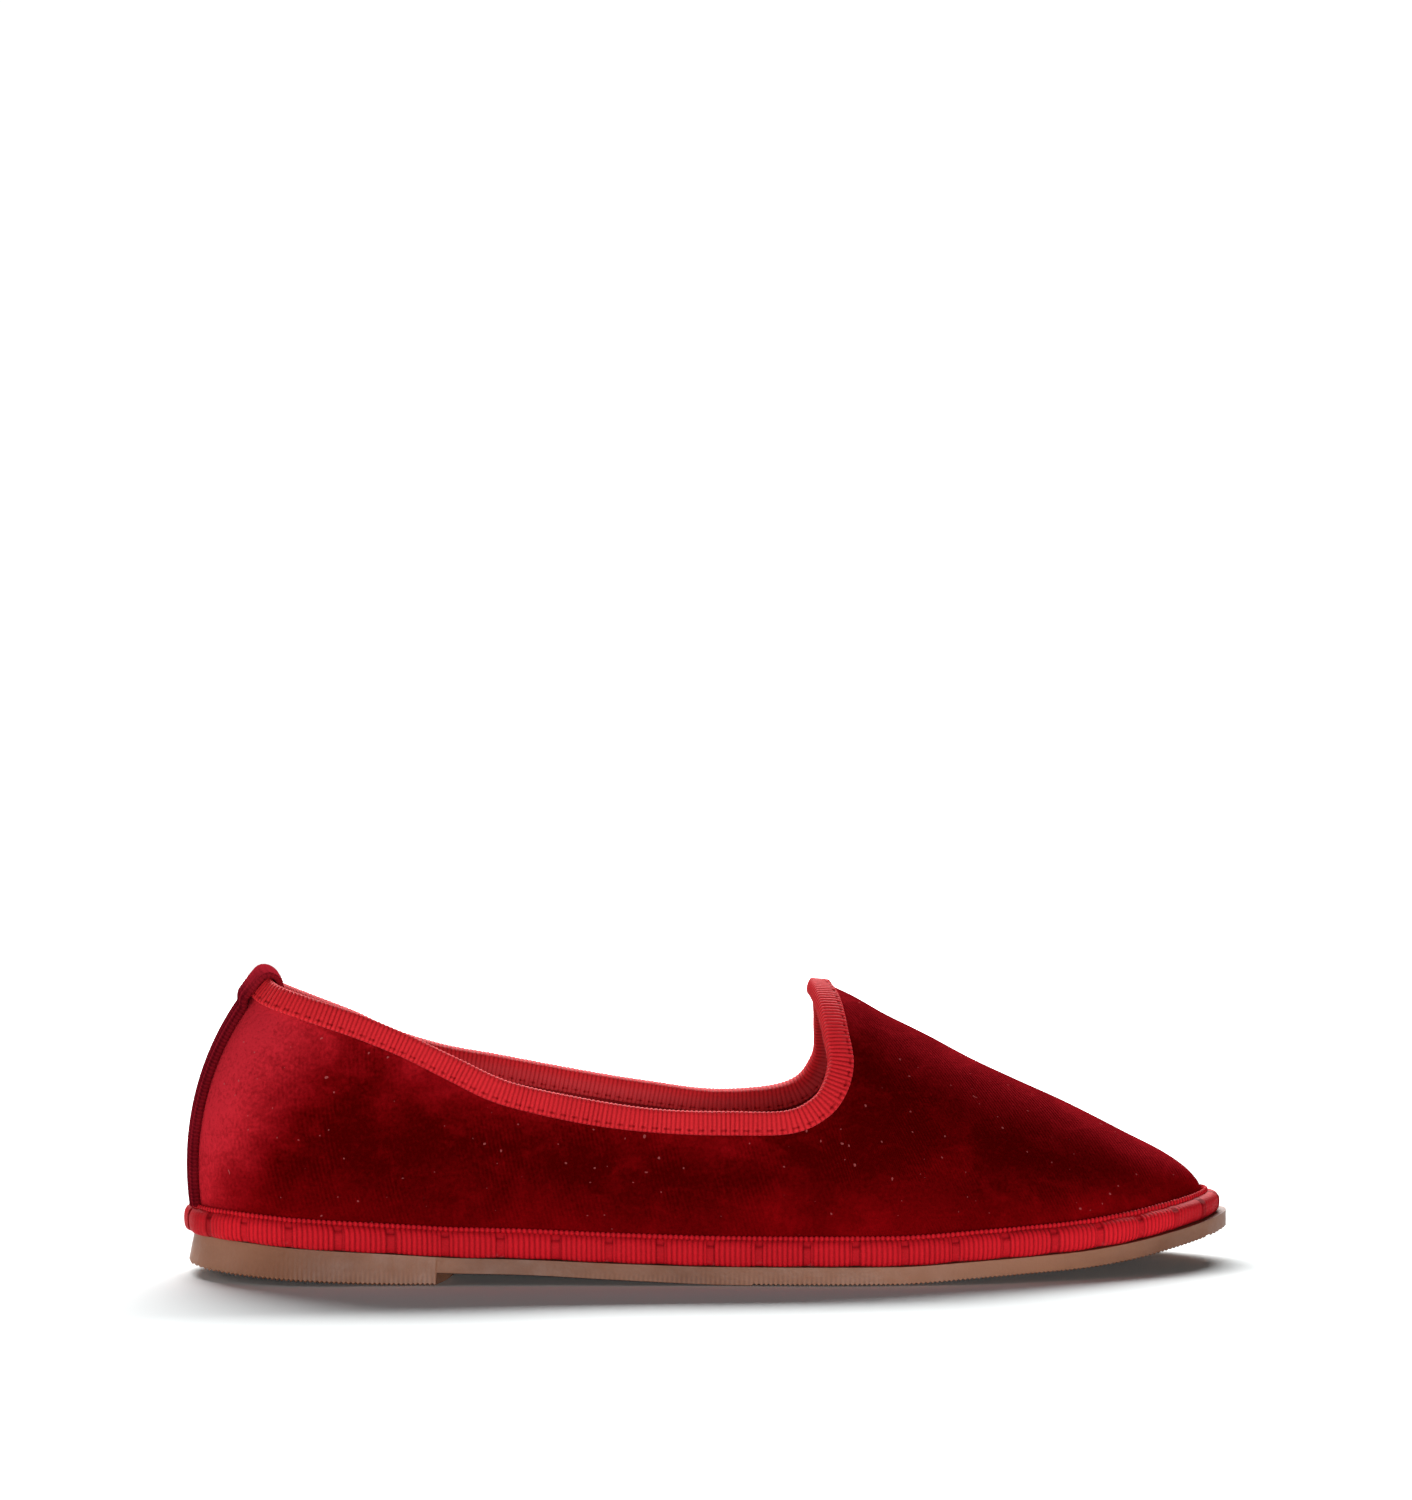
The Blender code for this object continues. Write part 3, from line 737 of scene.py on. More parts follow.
def tape_finish(name, lit, deep, pale, size):
    """Ribbed tape: threads that run over the ribs, with painted shade in the grooves and slits, and darker
    whip stitches.
    """
    f = Finish(name)
    fibre = f.noise(0.00035, 2.0)
    patches = f.noise(size, 3.0)
    # Painted shade in the grooves and slits; the whip stitches darker.
    light = 1.05 - f.mask("shaded_groove") * 0.85 - f.mask("bar") * 0.38 - f.mask("shaded_slit") * 0.6
    light = light - f.spread(patches, 0.3, 0.75, 0, 0.14) + (fibre - 0.5) * 0.45
    # deep is the painted shade colour for the grooves, slits and stitches.
    colour = f.mixed(light, deep, lit)
    glue = f.spread(f.noise(0.0015, 1.0), 0.60, 0.68) * f.mask("glue")
    # The binding's inner leg is mixed towards the pale colour, more on its ribs than in its grooves, and so
    # are the glue specks.
    colour = f.mixed(glue * 0.6 + f.mask("inner") * light * 0.7, colour, pale)
    return f.done(
        colour, 0.62, f.bump(fibre, 0.00010),
        Sheen_Weight=0.05, Sheen_Roughness=0.4, Sheen_Tint=(1, 0.10, 0.12, 1), Specular_IOR_Level=0.05,
    )


def rubber_finish(looks):
    f = Finish("sole rubber")
    cloud = f.noise(0.035, 3.0)
    grain = f.noise(0.0009, 3.0)
    streaks = f.noise(0.004, 2.0, f.stretched((0.25, 0.25, 1)))
    ahead = Number(f.tree, f.node("ShaderNodeSeparateXYZ", None, {0: f.place}).outputs["X"])
    light = f.spread(cloud, 0.3, 0.75, 0.2, 0.9) + (grain - 0.5) * 0.25 + (streaks - 0.5) * 0.3
    # Painted light on the tread's tooth tips and painted shade in its notches.
    light = light + f.mask("tooth") * 0.9
    light = light + f.spread(ahead, 0.0, 0.05, 0, 0.5) - f.spread(ahead, 0.07, 0.115, 0, 1.3)
    colour = f.mixed(light, looks.rubber_deep, looks.rubber_lit)
    rough = f.spread(f.noise(0.006, 3.0), 0.3, 0.8, 0.42, 0.62)
    return f.done(colour, rough, f.bump(grain + streaks * 0.6, 0.00007), Specular_IOR_Level=0.4)


def leather_finish(looks):
    f = Finish("insole leather")
    values = {"Vector": f.place, "Scale": 1100.0}
    cells = f.node("ShaderNodeTexVoronoi", {"feature": "DISTANCE_TO_EDGE"}, values)
    pores = f.spread(Number(f.tree, cells.outputs["Distance"]), 0.0, 0.12)
    cloud = f.noise(0.02, 3.0)
    light = f.spread(cloud, 0.3, 0.7, 0.3, 0.9) - (1 - pores) * 0.25
    colour = f.mixed(light, (0.30, 0.17, 0.095), looks.leather)
    return f.done(colour, 0.55, f.bump(pores + cloud, 0.00008), Specular_IOR_Level=0.35)


def lining_finish(looks):
    f = Finish("cotton lining")
    across_threads = (f.mask("run") * (2 * pi / 0.00055)).sine()
    up_threads = (f.mask("rise") * (2 * pi / 0.00055)).sine()
    weave = across_threads * up_threads
    cloud = f.noise(0.015, 2.0)
    colour = f.mixed(weave * 0.18 + f.spread(cloud, 0.3, 0.7, 0.3, 0.8), (0.16, 0.006, 0.010), looks.lining)
    return f.done(colour, 0.9, f.bump(weave, 0.00006), Specular_IOR_Level=0.15)


def wall(depth, columns_a_side, toe_columns, rows):
    """Points of the upper at a depth under its skin, with how far each has run along and up the cloth."""
    tongue_foot = turn_of(upper_foot_at_tongue)
    to_toe = np.linspace(0, 1, toe_columns + 1)[1:] ** ridge_crowding
    toe_feet = tongue_foot + (1 - tongue_foot) * to_toe
    ridge_turns = tongue_turn + (1 - tongue_turn) * to_toe
    up = 1 - (1 - np.linspace(0, 1, rows + 1)[:, None]) ** wall_crowding
    halves = {}
    for side in (OUTER, INNER):
        around, climb = collar_curve(side, columns_a_side)
        lowest = climb.argmin()
        past_corner = (climb - climb[lowest]) / (1 - climb[lowest]) * (np.arange(len(climb)) > lowest)
        feet = np.maximum.accumulate(abs(around))
        feet = side * np.concatenate([feet + (tongue_foot - feet) * past_corner, toe_feet])
        tops = np.concatenate([around, side * ridge_turns])
        climbs = np.concatenate([climb, np.ones(toe_columns)])
        around, climb = feet + (tops - feet) * up, climbs * up
        points = skin(around, climb)
        normal = skin_normal(around, np.clip(climb, 0.02, 0.985))
        halves[side] = points - normal * (depth + dents(points, side) * np.sin(pi * up) ** 0.5)[..., None]
    points = np.concatenate([halves[INNER][:, ::-1], halves[OUTER][:, 1:]], axis=1)
    run = reach_of(points[rows // 2])
    run = np.broadcast_to(abs(run - run[columns_a_side + toe_columns]), points.shape[:2])
    steps = np.linalg.norm(np.diff(points, axis=0), axis=2)
    rise = np.concatenate([np.zeros((1, points.shape[1])), np.cumsum(steps, axis=0)])
    return points, run, rise


def dents(points, side):
    """Soft hollows, above 0, and swells, below 0, that the cloth takes between sole and collar."""
    total = np.zeros(points.shape[:-1])
    for at_side, along, height, length, tall, lean, depth in soft_forms:
        if at_side == side:
            ran = share_along(points[..., 0]) - along
            rose = points[..., 2] / instep_height - height
            total += depth * bell((ran + rose * lean) / length) * bell(rose / tall)
    return total


def length_value(name, default, description):
    return FloatProperty(name=name, description=description, default=default, unit="LENGTH", precision=5)


def colour_value(name, default, description):
    return FloatVectorProperty(
        name=name, description=description, default=default, size=3, subtype="COLOR"
    )


class SlipperLooks(bpy.types.PropertyGroup):
    """Sizes of the fine forms and colours of the cloths."""

    velvet_row: length_value("Velvet row", 0.00095, "Pitch of the pile's rows")
    tape_rib: length_value("Tape rib", 0.00105, "Pitch of the binding's ribs")
    rand_rib: length_value("Rand rib", 0.00120, "Pitch of the rand's ribs")
    rib_depth: length_value("Rib depth", 0.00022, "Depth of the grooves between ribs")
    bar_pitch: length_value("Stitch pitch", 0.0120, "From one whip stitch to the next")
    bar_width: length_value("Stitch width", 0.0018, "Width of a whip stitch")
    tread_pitch: length_value("Tread pitch", 0.0011, "From one fine tread rib to the next")
    tread_depth: length_value("Tread depth", 0.00055, "Depth of the fine tread")
    sheen: FloatProperty(
        name="Sheen", description="Strength of the pile's sheen", default=0.04, min=0, max=1, subtype="FACTOR"
    )
    velvet_deep: colour_value("Velvet, deep", (0.067, 0.0001, 0.0002), "Colour looking into the pile")
    velvet_mid: colour_value("Velvet, half lit", (0.48, 0.003, 0.007), "Colour of the pile's soft patches")
    # Painted highlight colour of the velvet, where it faces the left softbox and along its top.
    velvet_painted_highlight: colour_value("Velvet, lit", (0.57, 0.021, 0.034), "Colour where the pile leans away")
    stay_deep: colour_value("Stay, deep", (0.055, 0.0008, 0.0025), "Colour of the heel stay's pile")
    # Painted highlight colour on the stay's edge lines and cap.
    stay_lit: colour_value("Stay, lit", (0.24, 0.008, 0.015), "Colour of the heel stay's edges")
    tape_lit: colour_value("Tape", (0.76, 0.024, 0.033), "Colour of the binding's ribs")
    # Painted shade colour in the binding's grooves and stitch line.
    tape_groove_shade: colour_value("Tape grooves", (0.24, 0.003, 0.005), "Colour between the binding's ribs")
    rand_lit: colour_value("Rand", (0.78, 0.014, 0.025), "Colour of the rand's ribs")
    # Painted shade colour in the rand's grooves and slits.
    rand_groove_shade: colour_value("Rand grooves", (0.22, 0.003, 0.006), "Colour between the rand's ribs")
    pale: colour_value("Worn threads", (0.72, 0.085, 0.10), "Colour of pale threads and old glue")
    rubber_lit: colour_value("Rubber, light", (0.37, 0.158, 0.085), "Lighter colour of the sole")
    rubber_deep: colour_value("Rubber, dark", (0.20, 0.077, 0.038), "Darker colour of the sole")
    leather: colour_value("Leather", (0.52, 0.36, 0.24), "Colour of the insole")
    lining: colour_value("Lining", (0.40, 0.020, 0.026), "Colour of the cotton lining")


class SLIPPER_OT_upper(bpy.types.Operator):
    """Make the velvet wall with its soft hollows."""

    bl_idname = "slipper.upper"
    bl_label = "Upper"

    def execute(self, context):
        looks = context.scene.slipper_looks
        points, run, rise = wall(0.0, *velvet_grid)
        height = points[..., 2] - sole_top(points[..., 0])
        # Share near the sole: it carries the brushed pile streaks and a painted lighter band standing in for
        # light from the floor.
        low = 1 - step_between(0.004, 0.022, height)
        masks = {"run": run, "rise": rise, "low": low}
        piece = grid_piece("velvet_upper", points, velvet_finish(looks), masks, velvet_thickness)
        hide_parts("upper")
        return {"FINISHED"}


class SLIPPER_OT_lining(bpy.types.Operator):
    """Make the cotton lining inside the velvet."""

    bl_idname = "slipper.lining"
    bl_label = "Lining"

    def execute(self, context):
        points, run, rise = wall(velvet_thickness + cloth_gap, *lining_grid)
        masks = {"run": run, "rise": rise}
        thickness = upper_wall - velvet_thickness - 2 * cloth_gap
        grid_piece("cotton_lining", points, lining_finish(context.scene.slipper_looks), masks, thickness)
        return {"FINISHED"}


class SLIPPER_OT_binding(bpy.types.Operator):
    """Make the ribbed tape round the collar with its line of stitches."""

    bl_idname = "slipper.binding"
    bl_label = "Collar binding"

    def execute(self, context):
        looks = context.scene.slipper_looks
        out_around, out_climb = collar_curve(OUTER, tape_columns)
        in_around, in_climb = collar_curve(INNER, tape_columns)
        around = np.concatenate([out_around, in_around[-2:0:-1]])
        climb = np.concatenate([out_climb, in_climb[-2:0:-1]])
        edge, normal = skin(around, climb), skin_normal(around, climb)
        way = unit(np.roll(edge, -3, axis=0) - np.roll(edge, 3, axis=0))
        down = unit(np.cross(way, normal))
        length = reach_of(np.concatenate([edge, edge[:1]]))
        ribs = round(length[-1] / looks.tape_rib)
        phase = length[:-1] / length[-1] * ribs
        rib = abs(np.sin(pi * phase)) ** 0.7
        dash = step_between(-0.2, 0.1, np.sin(2 * pi * phase / 2.5))
        inside = -upper_wall - clearance
        wave = 0.00012 * np.sin(length[:-1] / 0.011) + 0.00008 * np.sin(length[:-1] / 0.0047)
        width = (binding_width + wave) * (1 - 0.30 * bell((1 - climb) / 0.12))
        ring, grooves, bars = [], [], []

        def add(points, shaded_groove, bar):
            ring.append(points)
            grooves.append(shaded_groove)
            bars.append(bar)

        def on_leg(drop, offset):
            low = snap_to_skin(edge + down * drop[:, None], around, climb)
            return skin(*low) + skin_normal(*low) * offset[:, None]

        flat = np.zeros(len(around))
        shares = [1.0, 0.975, 0.93, 0.86, 0.825, 0.775, 0.725, 0.69, 0.58, 0.44, 0.30, 0.16, 0.06]
        edging = [0.35, 0.80, 0.97] + [1.0] * 10
        for leg in (1, -1):
            for share, full in list(zip(shares, edging))[::leg]:
                # The stitch line is sunk and given painted shade.
                stitch = bell((share - 0.775) / 0.05) * dash
                thickness = binding_thickness * full - looks.rib_depth * (1 - rib) - 0.00022 * stitch
                base = clearance if leg == 1 else inside
                drop = share * width
                add(on_leg(drop, base + leg * thickness), 1 - rib, stitch)
            if leg == 1:
                middle = edge - normal * upper_wall / 2
                for angle in np.linspace(0, pi, 9)[1:-1]:
                    thickness = binding_thickness - looks.rib_depth * (1 - rib)
                    reach = (upper_wall / 2 + clearance + thickness)[:, None]
                    lift = (clearance + thickness * np.sin(angle))[:, None]
                    add(middle + normal * reach * np.cos(angle) - down * lift, 1 - rib, flat)
        for share in (1.0, 0.5):
            add(on_leg(share * width, flat + inside), 1 - rib, flat)
        for offset in (inside, clearance):
            add(edge + normal * offset - down * clearance, 1 - rib, flat)
        for share in (0.5, 1.0):
            add(on_leg(share * width, flat + clearance), 1 - rib, flat)
        ring.append(ring[0])
        grooves.append(grooves[0])
        bars.append(bars[0])
        points = close_round(np.array(ring))
        zero = np.zeros(points.shape[:2])
        inner = zero + step_between(0.46, 0.60, np.linspace(0, 1, len(points)))[:, None]
        masks = {
            "shaded_groove": close_round(np.array(grooves)),
            "shaded_slit": close_round(np.array(bars)),
            "inner": inner,
        }
        finish = tape_finish("binding grosgrain", looks.tape_lit, looks.tape_groove_shade, looks.pale, 0.02)
        piece = grid_piece("ribbed_binding", points, finish, masks)
        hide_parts("collar_binding")
        return {"FINISHED"}


def close_round(rows):
    return np.concatenate([rows, rows[:, :1]], axis=1)


class SLIPPER_OT_stay(bpy.types.Operator):
    """Make the velvet strip up the back of the heel, over the binding and down inside."""

    bl_idname = "slipper.stay"
    bl_label = "Heel stay"

    def execute(self, context):
        looks = context.scene.slipper_looks
        sides = [collar_curve(side, heel_columns) for side in (OUTER, INNER)]
        back = skin(np.concatenate([s[0] for s in sides]), np.concatenate([s[1] for s in sides]))
        back = back[back[:, 0] < back[:, 0].min() + stay_width]
        back = back[np.argsort(back[:, 1])]
        over_binding = 2 * clearance + binding_thickness
        across_heel = np.linspace(stay_width / 2, -stay_width / 2, 41)
        y = across_heel - plan_middle
        side = np.where(y < 0, OUTER, INNER)
        edge = np.interp(y, back[:, 1], back[:, 2])
        bottom = float(sole_top(-shoe_length / 2)) + 2 * clearance + rand_height

        def place_at(height):
            def reached(turn):
                return side * skin(side * turn, climb_at(side * turn, height))[:, 1]

            turn = find_each(reached, side * y)
            return side * turn, climb_at(side * turn, height)

        def on_heel(height, offset):
            place = place_at(height)
            return skin(*place) + skin_normal(*place) * offset

        ramp_end = edge - binding_width + clearance
        lines = []
        for share in np.linspace(0, 1, 61):
            lines.append(on_heel(bottom + (ramp_end - stay_ramp - bottom) * share, clearance))
        for share in np.linspace(0, 1, 7)[1:-1]:
            offset = clearance + (over_binding - clearance) * step_between(0, 1, share)
            lines.append(on_heel(ramp_end - stay_ramp * (1 - share), offset))
        for share in np.linspace(0, 1, 8):
            lines.append(on_heel(ramp_end + (edge - ramp_end) * share, over_binding))
        top = place_at(edge)
        normal = skin_normal(*top)
        rise = unit(skin_slopes(*top)[1]) * (over_binding + clearance)
        middle, reach = skin(*top) - normal * upper_wall / 2, upper_wall / 2 + over_binding
        for angle in np.linspace(0, pi, 13)[1:-1]:
            lines.append(middle + normal * reach * np.cos(angle) + rise * np.sin(angle))
        for share in np.linspace(0, 1, 12):
            lines.append(on_heel(edge - stay_inside_length * share, -upper_wall - over_binding))
        points = np.array(lines)
        out = abs(across_heel) / (stay_width / 2)
        ridge = bell((out - 0.80) / 0.045)
        rim = step_between(0.955, 1.0, out)
        lift = 0.00018 * ridge - 0.00010 * bell((out - 0.70) / 0.04)
        normals = np.cross(np.gradient(points, axis=1), np.gradient(points, axis=0))
        cap = step_between(0, stay_cap_rows, np.arange(len(points))[:, None] - stay_cap_start)
        lift = lift * (1 - cap) + stay_cap_swell * cap * (1 - out**2) - stay_sink
        points = points + unit(normals) * lift[..., None]
        # Painted highlight on the raised edge line and rims, strongest over the cap.
        painted_edge_highlight = (ridge + rim * 0.5) * (1 - cap) + cap * 2.0
        risen = reach_of(points[:, len(across_heel) // 2])
        masks = {"edge": painted_edge_highlight, "rise": np.broadcast_to(risen[:, None], points.shape[:2])}
        piece = grid_piece("velvet_stay", points, stay_finish(looks), masks, stay_thickness + stay_sink, 1.0)
        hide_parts("heel_stay")
        return {"FINISHED"}


def even_round(columns):
    """Places round the rand at even distances, and how far each has run."""
    fine = np.linspace(-1, 1, 8001)
    reach = reach_of(rand_plan(fine, np.zeros(len(fine))))
    run = np.linspace(0, reach[-1], columns, endpoint=False)
    return np.interp(run, reach, fine), run, reach[-1]


class SLIPPER_OT_rand(bpy.types.Operator):
    """Make the ribbed roll with its whip stitches, and the looped edge that stands over it."""

    bl_idname = "slipper.rand"
    bl_label = "Rand"

    def execute(self, context):
        looks = context.scene.slipper_looks
        around, run, total = even_round(rand_columns)
        along = along_of(np.abs(around))
        full = smooth(rand_rows, 1, along) * rand_height
        ribs = round(total / looks.rand_rib)
        wobble = 0.25 * np.sin(run / 0.013) + 0.2 * np.sin(run / 0.0071 + 1)
        rib = abs(np.sin(pi * (run / total * ribs + wobble))) ** 0.7
        smooth_end = np.maximum(step_between(0.925, 0.965, along), 1 - step_between(0.010, 0.055, along))
        bars = round(total / looks.bar_pitch)
        bar_at = (run / total * bars + 0.12 * np.sin(run / 0.021)) % 1
        bar = 1 - step_between(0.42, 0.58, abs(bar_at - 0.5) / (looks.bar_width / looks.bar_pitch))
        bar_sides = bell((abs(bar_at - 0.5) * looks.bar_pitch / looks.bar_width - 0.5) / 0.09)
        raised = step_between(0.90, 0.95, along)
        # Grooves between the ribs: sunk, and given painted shade.
        shaded_groove = (1 - rib) * (1 - bar) * (1 - 0.85 * smooth_end)
        lumps = 0.00008 * np.sin(run / 0.0052) + 0.00008 * np.sin(run / 0.0117 + 2)
        lumps = lumps + 0.00020 * np.cos(2 * pi * bar_at) * (1 - raised)
        sink = -looks.rib_depth * 1.3 * shaded_groove - bar * (0.00030 * (1 - raised) - 0.00022 * raised) + lumps

        def against_upper(share):
            height = share * full
            foot = section(around)[0]
            climb = climb_at(around, foot[..., 2] + height)
            plan = skin(around, climb) + skin_normal(around, climb) * clearance
            return over_sole(plan, clearance + height)

        middle = against_upper(0.5)
        ring, grooves, bar_rows, glues, slits = [], [], [], [], {}
        for share in np.linspace(0, 1, 4):
            ring.append(against_upper(share))
            grooves.append(shaded_groove * (share > 0.99))
            bar_rows.append(bar * (share > 0.99))
            glues.append(0 * bar)
        for angle in np.linspace(pi / 2, -pi / 2, 15)[1:-1]:
            share = (1 + np.sign(angle) * abs(np.sin(angle)) ** (2 / rand_fullness)) / 2
            out = np.cos(angle) ** (2 / rand_fullness * (1 if angle > 0 else 0.45))
            back, front = against_upper(share), rand_plan(around, np.zeros(len(around)))
            plan = back[..., :2] + (front - back[..., :2]) * out
            lift = rand_gap + (clearance - rand_gap) * step_between(0, 0.5, share)
            points = over_sole(plan, lift + share * full)
            # A sunk slit above each whip stitch, with lines at its sides, given painted shade.
            shaded_slit = bell((share - 0.84) / 0.07) * bar
            fade = min(1, 1.6 * np.cos(angle))
            ring.append(points + unit(points - middle) * (sink - shaded_slit * 0.0004)[:, None] * fade)
            grooves.append(shaded_groove)
            bar_rows.append(bar * 0.8 + smooth_end * 1.4)
            slits[len(ring) - 1] = shaded_slit * 0.7 + bar_sides * 0.7
            glues.append(np.full(len(around), 1 - step_between(0.0, 0.22, share)) * (0.35 + 0.65 * bar))
        ring.append(ring[0])
        grooves.append(grooves[0])
        bar_rows.append(bar_rows[0])
        glues.append(glues[0])
        slit_rows = [slits.get(row, 0 * bar) for row in range(len(ring))]
        rows = {"shaded_groove": grooves, "bar": bar_rows, "glue": glues, "shaded_slit": slit_rows}
        masks = {mask: close_round(np.array(row)) for mask, row in rows.items()}
        finish = tape_finish("rand grosgrain", looks.rand_lit, looks.rand_groove_shade, looks.pale, 0.015)
        piece = grid_piece("corded_rand", close_round(np.array(ring)), finish, masks)
        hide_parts("rand")

        top = against_upper(1.0)
        flat = np.zeros(len(around))
        outward = unit(on_height(rand_plan(around, flat) - top[:, :2], flat))
        upward = np.array([0, 0, 1])
        loops = abs(np.sin(pi * run / total * ribs))
        to_toe = step_between(0.80, 0.95, along)
        radius = (0.00030 + 0.00022 * loops) * (1 + 0.35 * to_toe)
        centre = top + outward * (0.00045 + 0.0003 * to_toe)[:, None] + upward * 0.00035
        ring = [
            centre
            + outward * (radius * 0.8 * np.cos(angle))[:, None]
            + upward * (radius * 1.25 * np.sin(angle))[:, None]
            for angle in np.linspace(0, 2 * pi, 9)
        ]
        ring[-1] = ring[0]
        points = close_round(np.array(ring))
        zero = np.zeros(points.shape[:2])
        # Painted shade between the loops.
        masks = {"shaded_groove": zero + close_round((1 - loops)[None, :]), "bar": zero + 0.35}
        edge = grid_piece("looped_edge", points, finish, masks)
        return {"FINISHED"}


class SLIPPER_OT_outsole(bpy.types.Operator):
    """Make the rubber sole with its low heel and fine tread."""

    bl_idname = "slipper.outsole"
    bl_label = "Outsole"

    def execute(self, context):
        looks = context.scene.slipper_looks
        start = turn_of(0.03)
        even = np.arange(0.03, 0.97, looks.tread_pitch / shoe_length / 4)
        ends = [np.linspace(0, start, 24)[:-1], np.linspace(turn_of(0.97), 1, 24)[1:]]
        breast = [turn_of(heel_breast), turn_of(heel_breast + heel_breast_slant)]
        stations = np.unique(np.concatenate([ends[0], [turn_of(a) for a in even], ends[1], breast]))
        across_shares = np.linspace(0, 1, 13)[:, None]

        def ring_at(turn):
            along = along_of(turn)
            x = (along - 0.5) * shoe_length
            inset = sole_inset * smooth(sole_rows, 4, along)
            spread = inset - sole_flare * smooth(sole_rows, 5, along)
            on_heel = along <= heel_breast + slope_step
            if on_heel:
                low = heel_rocker * np.clip(1 - along / heel_rocker_end, 0, 1) ** heel_rocker_curve
            else:
                low = float(sole_top(x)) - plate_thickness * smooth(sole_rows, 3, along)
            tread = on_heel or along > tread_start
            tooth = looks.tread_depth * abs((x / looks.tread_pitch) % 1 * 2 - 1) if tread else 0.0
            edges = plan_point([-turn, turn], shoe_length, [inset, inset])
            top = over_sole(edges[0] + (edges[1] - edges[0]) * across_shares, 0)
            sides = []
            for share in (0.92, 0.5, 0.15, 0.04):
                at = inset + (spread - inset) * (1 - share)
                side_edges = plan_point([turn, -turn], shoe_length, [at, at])
                height = float(sole_top(x)) * share + (low + tooth) * (1 - share)
                sides.append(on_height(side_edges, height))
            edges = plan_point([turn, -turn], shoe_length, [spread + sole_bevel * 0.6] * 2)
            bottom = on_height(edges[0] + (edges[1] - edges[0]) * across_shares, low + tooth)
            fade = np.clip(1 - abs(along - heel_breast) / heel_breast_fade, 0, 1)
            bottom[:, 0] += heel_breast_bow * fade * (1 - np.linspace(-1, 1, 13) ** 2)
            ring = [top] + [side[:1] for side in sides] + [bottom] + [side[1:] for side in sides[::-1]]
            ring = np.concatenate(ring)
            return np.concatenate([ring, ring[:1]])

        points = np.array([ring_at(turn) for turn in stations]).transpose(1, 0, 2)
        # Sawtooth of the tread for the tooth mask: painted light on the tooth tips and painted shade in the
        # notches, near the bottom edge.
        tooth = abs((points[..., 0] / looks.tread_pitch) % 1 * 2 - 1)
        foot = 1 - step_between(0.0012, 0.0030, points[..., 2])
        piece = grid_piece("treaded_sole", points, rubber_finish(looks), {"tooth": (0.5 - tooth) * foot})
        piece.data.set_sharp_from_angle(angle=radians(40))
        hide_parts("outsole")
        return {"FINISHED"}


class SLIPPER_OT_insole(bpy.types.Operator):
    """Make the padded sock."""

    bl_idname = "slipper.insole"
    bl_label = "Insole"

    def execute(self, context):
        looks = context.scene.slipper_looks
        side_inset = rand_width + clearance + upper_wall + insole_side_gap
        shares = np.linspace(0, 1, 25)

        def ring_at(turn):
            to_toe = np.clip((along_of(turn) - insole_thinning_start) / (1 - insole_thinning_start), 0, 1)
            inset = side_inset + insole_toe_inset * to_toe**2
            edges = rand_plan([-turn, turn], [inset, inset])
            thickness = insole_thickness + (insole_toe_thickness - insole_thickness) * to_toe
            line = edges[0] + (edges[1] - edges[0]) * shares[:, None]
            crown = 1 - 0.35 * abs(2 * shares - 1) ** 12
            top = over_sole(line, clearance + thickness * crown)
            bottom = over_sole(line[::-1], clearance)
            ring = np.concatenate([top, bottom])
            return np.concatenate([ring, ring[:1]])

        points = np.array([ring_at(turn) for turn in np.linspace(0, 1, 161)]).transpose(1, 0, 2)
        piece = grid_piece("padded_insole", points, leather_finish(looks))
        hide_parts("insole")
        return {"FINISHED"}


def area_light(name, place, aim, size, power):
    lamp = bpy.data.lights.new(name, "AREA")
    lamp.shape = "RECTANGLE"
    lamp.size, lamp.size_y = size
    lamp.energy = power
    light = bpy.data.objects.new(name, lamp)
    light.location = place
    light.rotation_euler = (Vector(aim) - Vector(place)).to_track_quat("-Z", "Y").to_euler()
    bpy.context.scene.collection.objects.link(light)


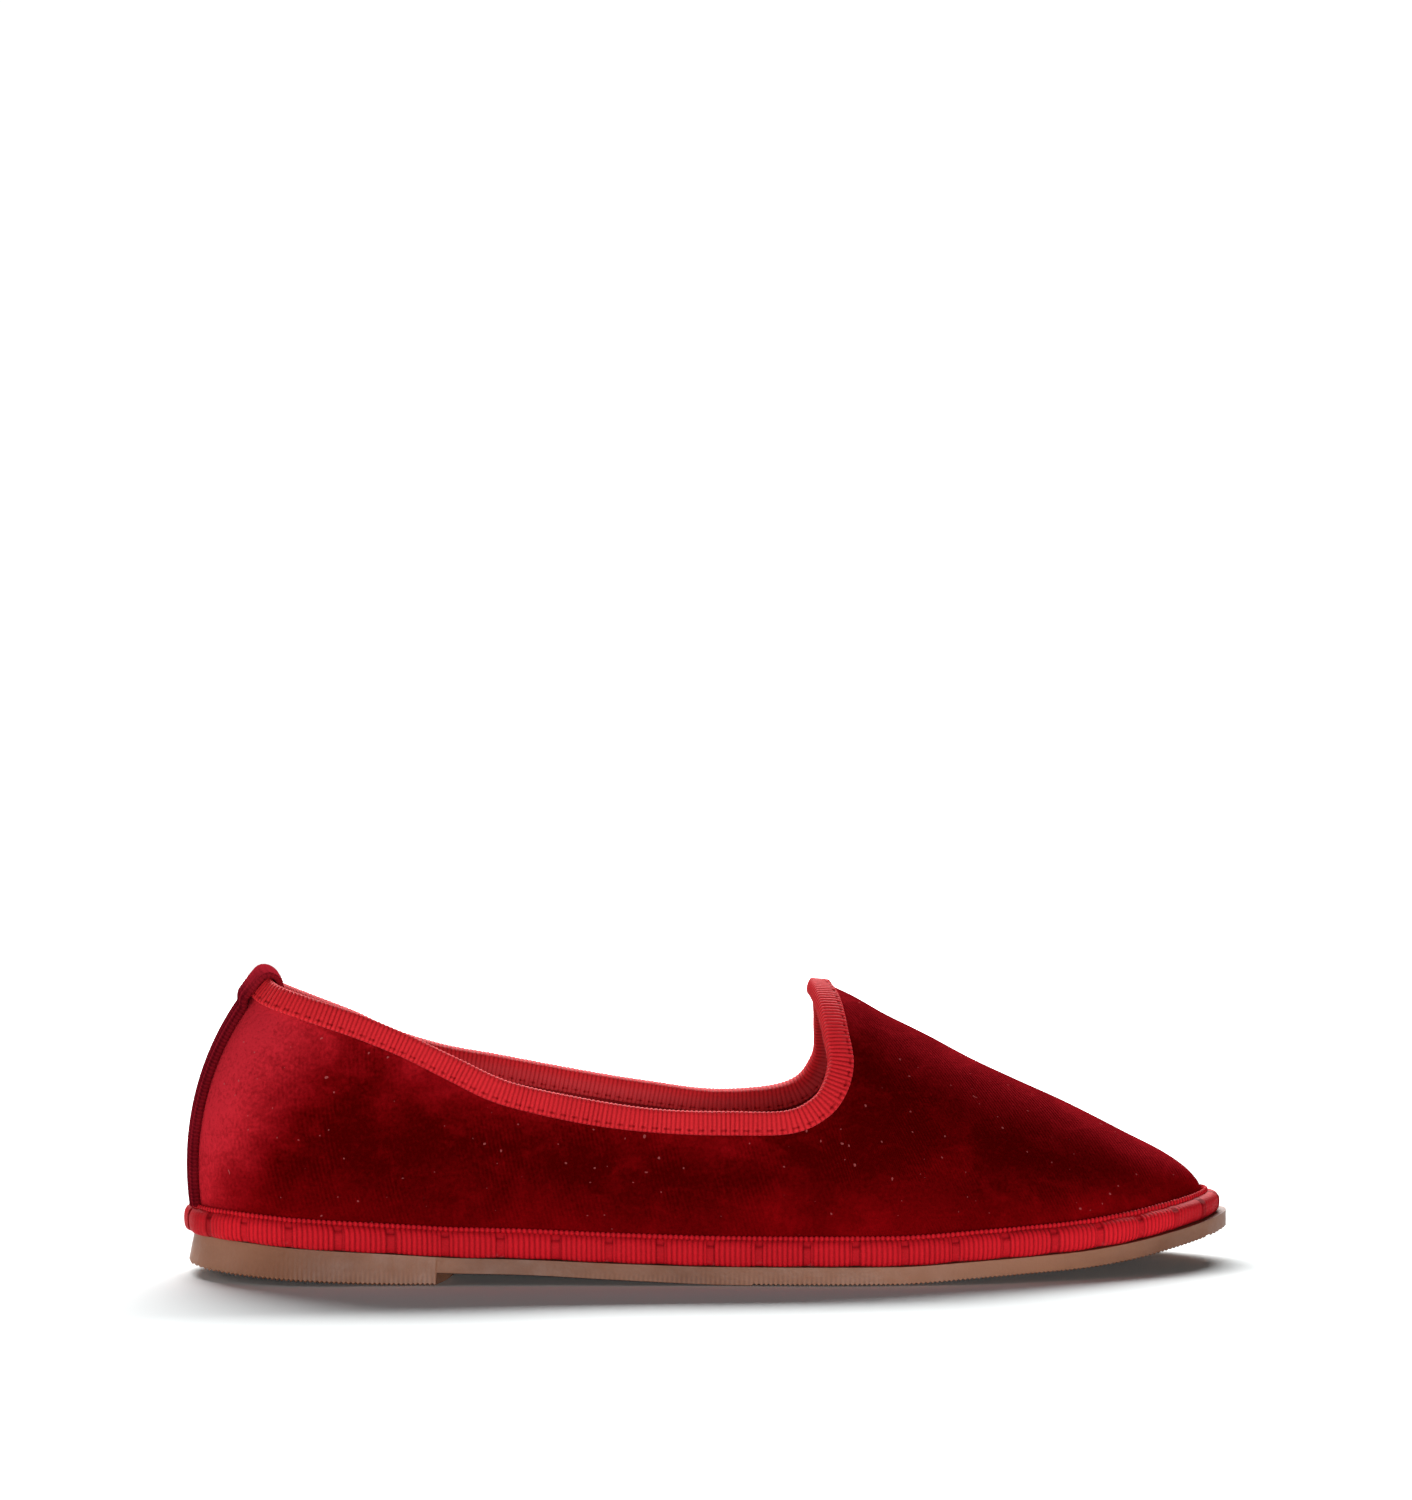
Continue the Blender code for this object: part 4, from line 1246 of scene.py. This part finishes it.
class SLIPPER_OT_stage(bpy.types.Operator):
    """Make the white floor, the lights and the camera."""

    bl_idname = "slipper.stage"
    bl_label = "Stage"

    def execute(self, context):
        bm = bmesh.new()
        bmesh.ops.create_grid(bm, x_segments=8, y_segments=8, size=floor_half)
        bmesh.ops.translate(bm, verts=bm.verts, vec=(0, 0.2, 0))
        mesh = bpy.data.meshes.new("floor")
        bm.to_mesh(mesh)
        bm.free()
        f = Finish("floor")
        mesh.materials.append(f.done(floor_colour, 1.0, Specular_IOR_Level=0.0))
        floor = bpy.data.objects.new("floor", mesh)
        context.scene.collection.objects.link(floor)

        for row in softboxes:
            area_light(*row)
        world = bpy.data.worlds.new("studio")
        world.use_nodes = True
        tree = world.node_tree
        back = tree.nodes["Background"]
        rays = tree.nodes.new("ShaderNodeLightPath")
        seen = Number(tree, rays.outputs["Is Camera Ray"])
        plug(tree, seen * (sky_seen - sky_light) + sky_light, back.inputs["Strength"])
        back.inputs["Color"].default_value = (1, 1, 1, 1)
        context.scene.world = world
        context.scene.view_settings.view_transform = "Standard"

        lens = bpy.data.cameras.new("camera")
        lens.sensor_fit = "AUTO"
        lens.sensor_width = 36
        lens.lens = camera_lens
        lens.clip_start = 0.01
        camera = bpy.data.objects.new("camera", lens)
        camera.location = camera_place
        camera.rotation_euler = (radians(90), 0, -radians(camera_turn))
        context.scene.collection.objects.link(camera)
        context.scene.camera = camera
        return {"FINISHED"}


operators = (
    SLIPPER_OT_upper,
    SLIPPER_OT_lining,
    SLIPPER_OT_binding,
    SLIPPER_OT_stay,
    SLIPPER_OT_rand,
    SLIPPER_OT_outsole,
    SLIPPER_OT_insole,
    SLIPPER_OT_stage,
)


class SLIPPER_PT_panel(bpy.types.Panel):
    """Sizes, colours and pieces of the slipper."""

    bl_idname = "SLIPPER_PT_panel"
    bl_label = "Friulane slipper"
    bl_space_type = "VIEW_3D"
    bl_region_type = "UI"
    bl_category = "Slipper"

    def draw(self, context):
        for name in SlipperLooks.__annotations__:
            self.layout.prop(context.scene.slipper_looks, name)
        for operator in operators:
            self.layout.operator(operator.bl_idname)


def register():
    for kind in (SlipperLooks, *operators, SLIPPER_PT_panel):
        bpy.utils.register_class(kind)
    bpy.types.Scene.slipper_looks = PointerProperty(type=SlipperLooks)


def unregister():
    del bpy.types.Scene.slipper_looks
    for kind in (SLIPPER_PT_panel, *reversed(operators), SlipperLooks):
        bpy.utils.unregister_class(kind)


def main():
    register()
    for operator in operators:
        getattr(bpy.ops.slipper, operator.bl_idname.split(".")[1])()


if __name__ == "__main__":
    main()
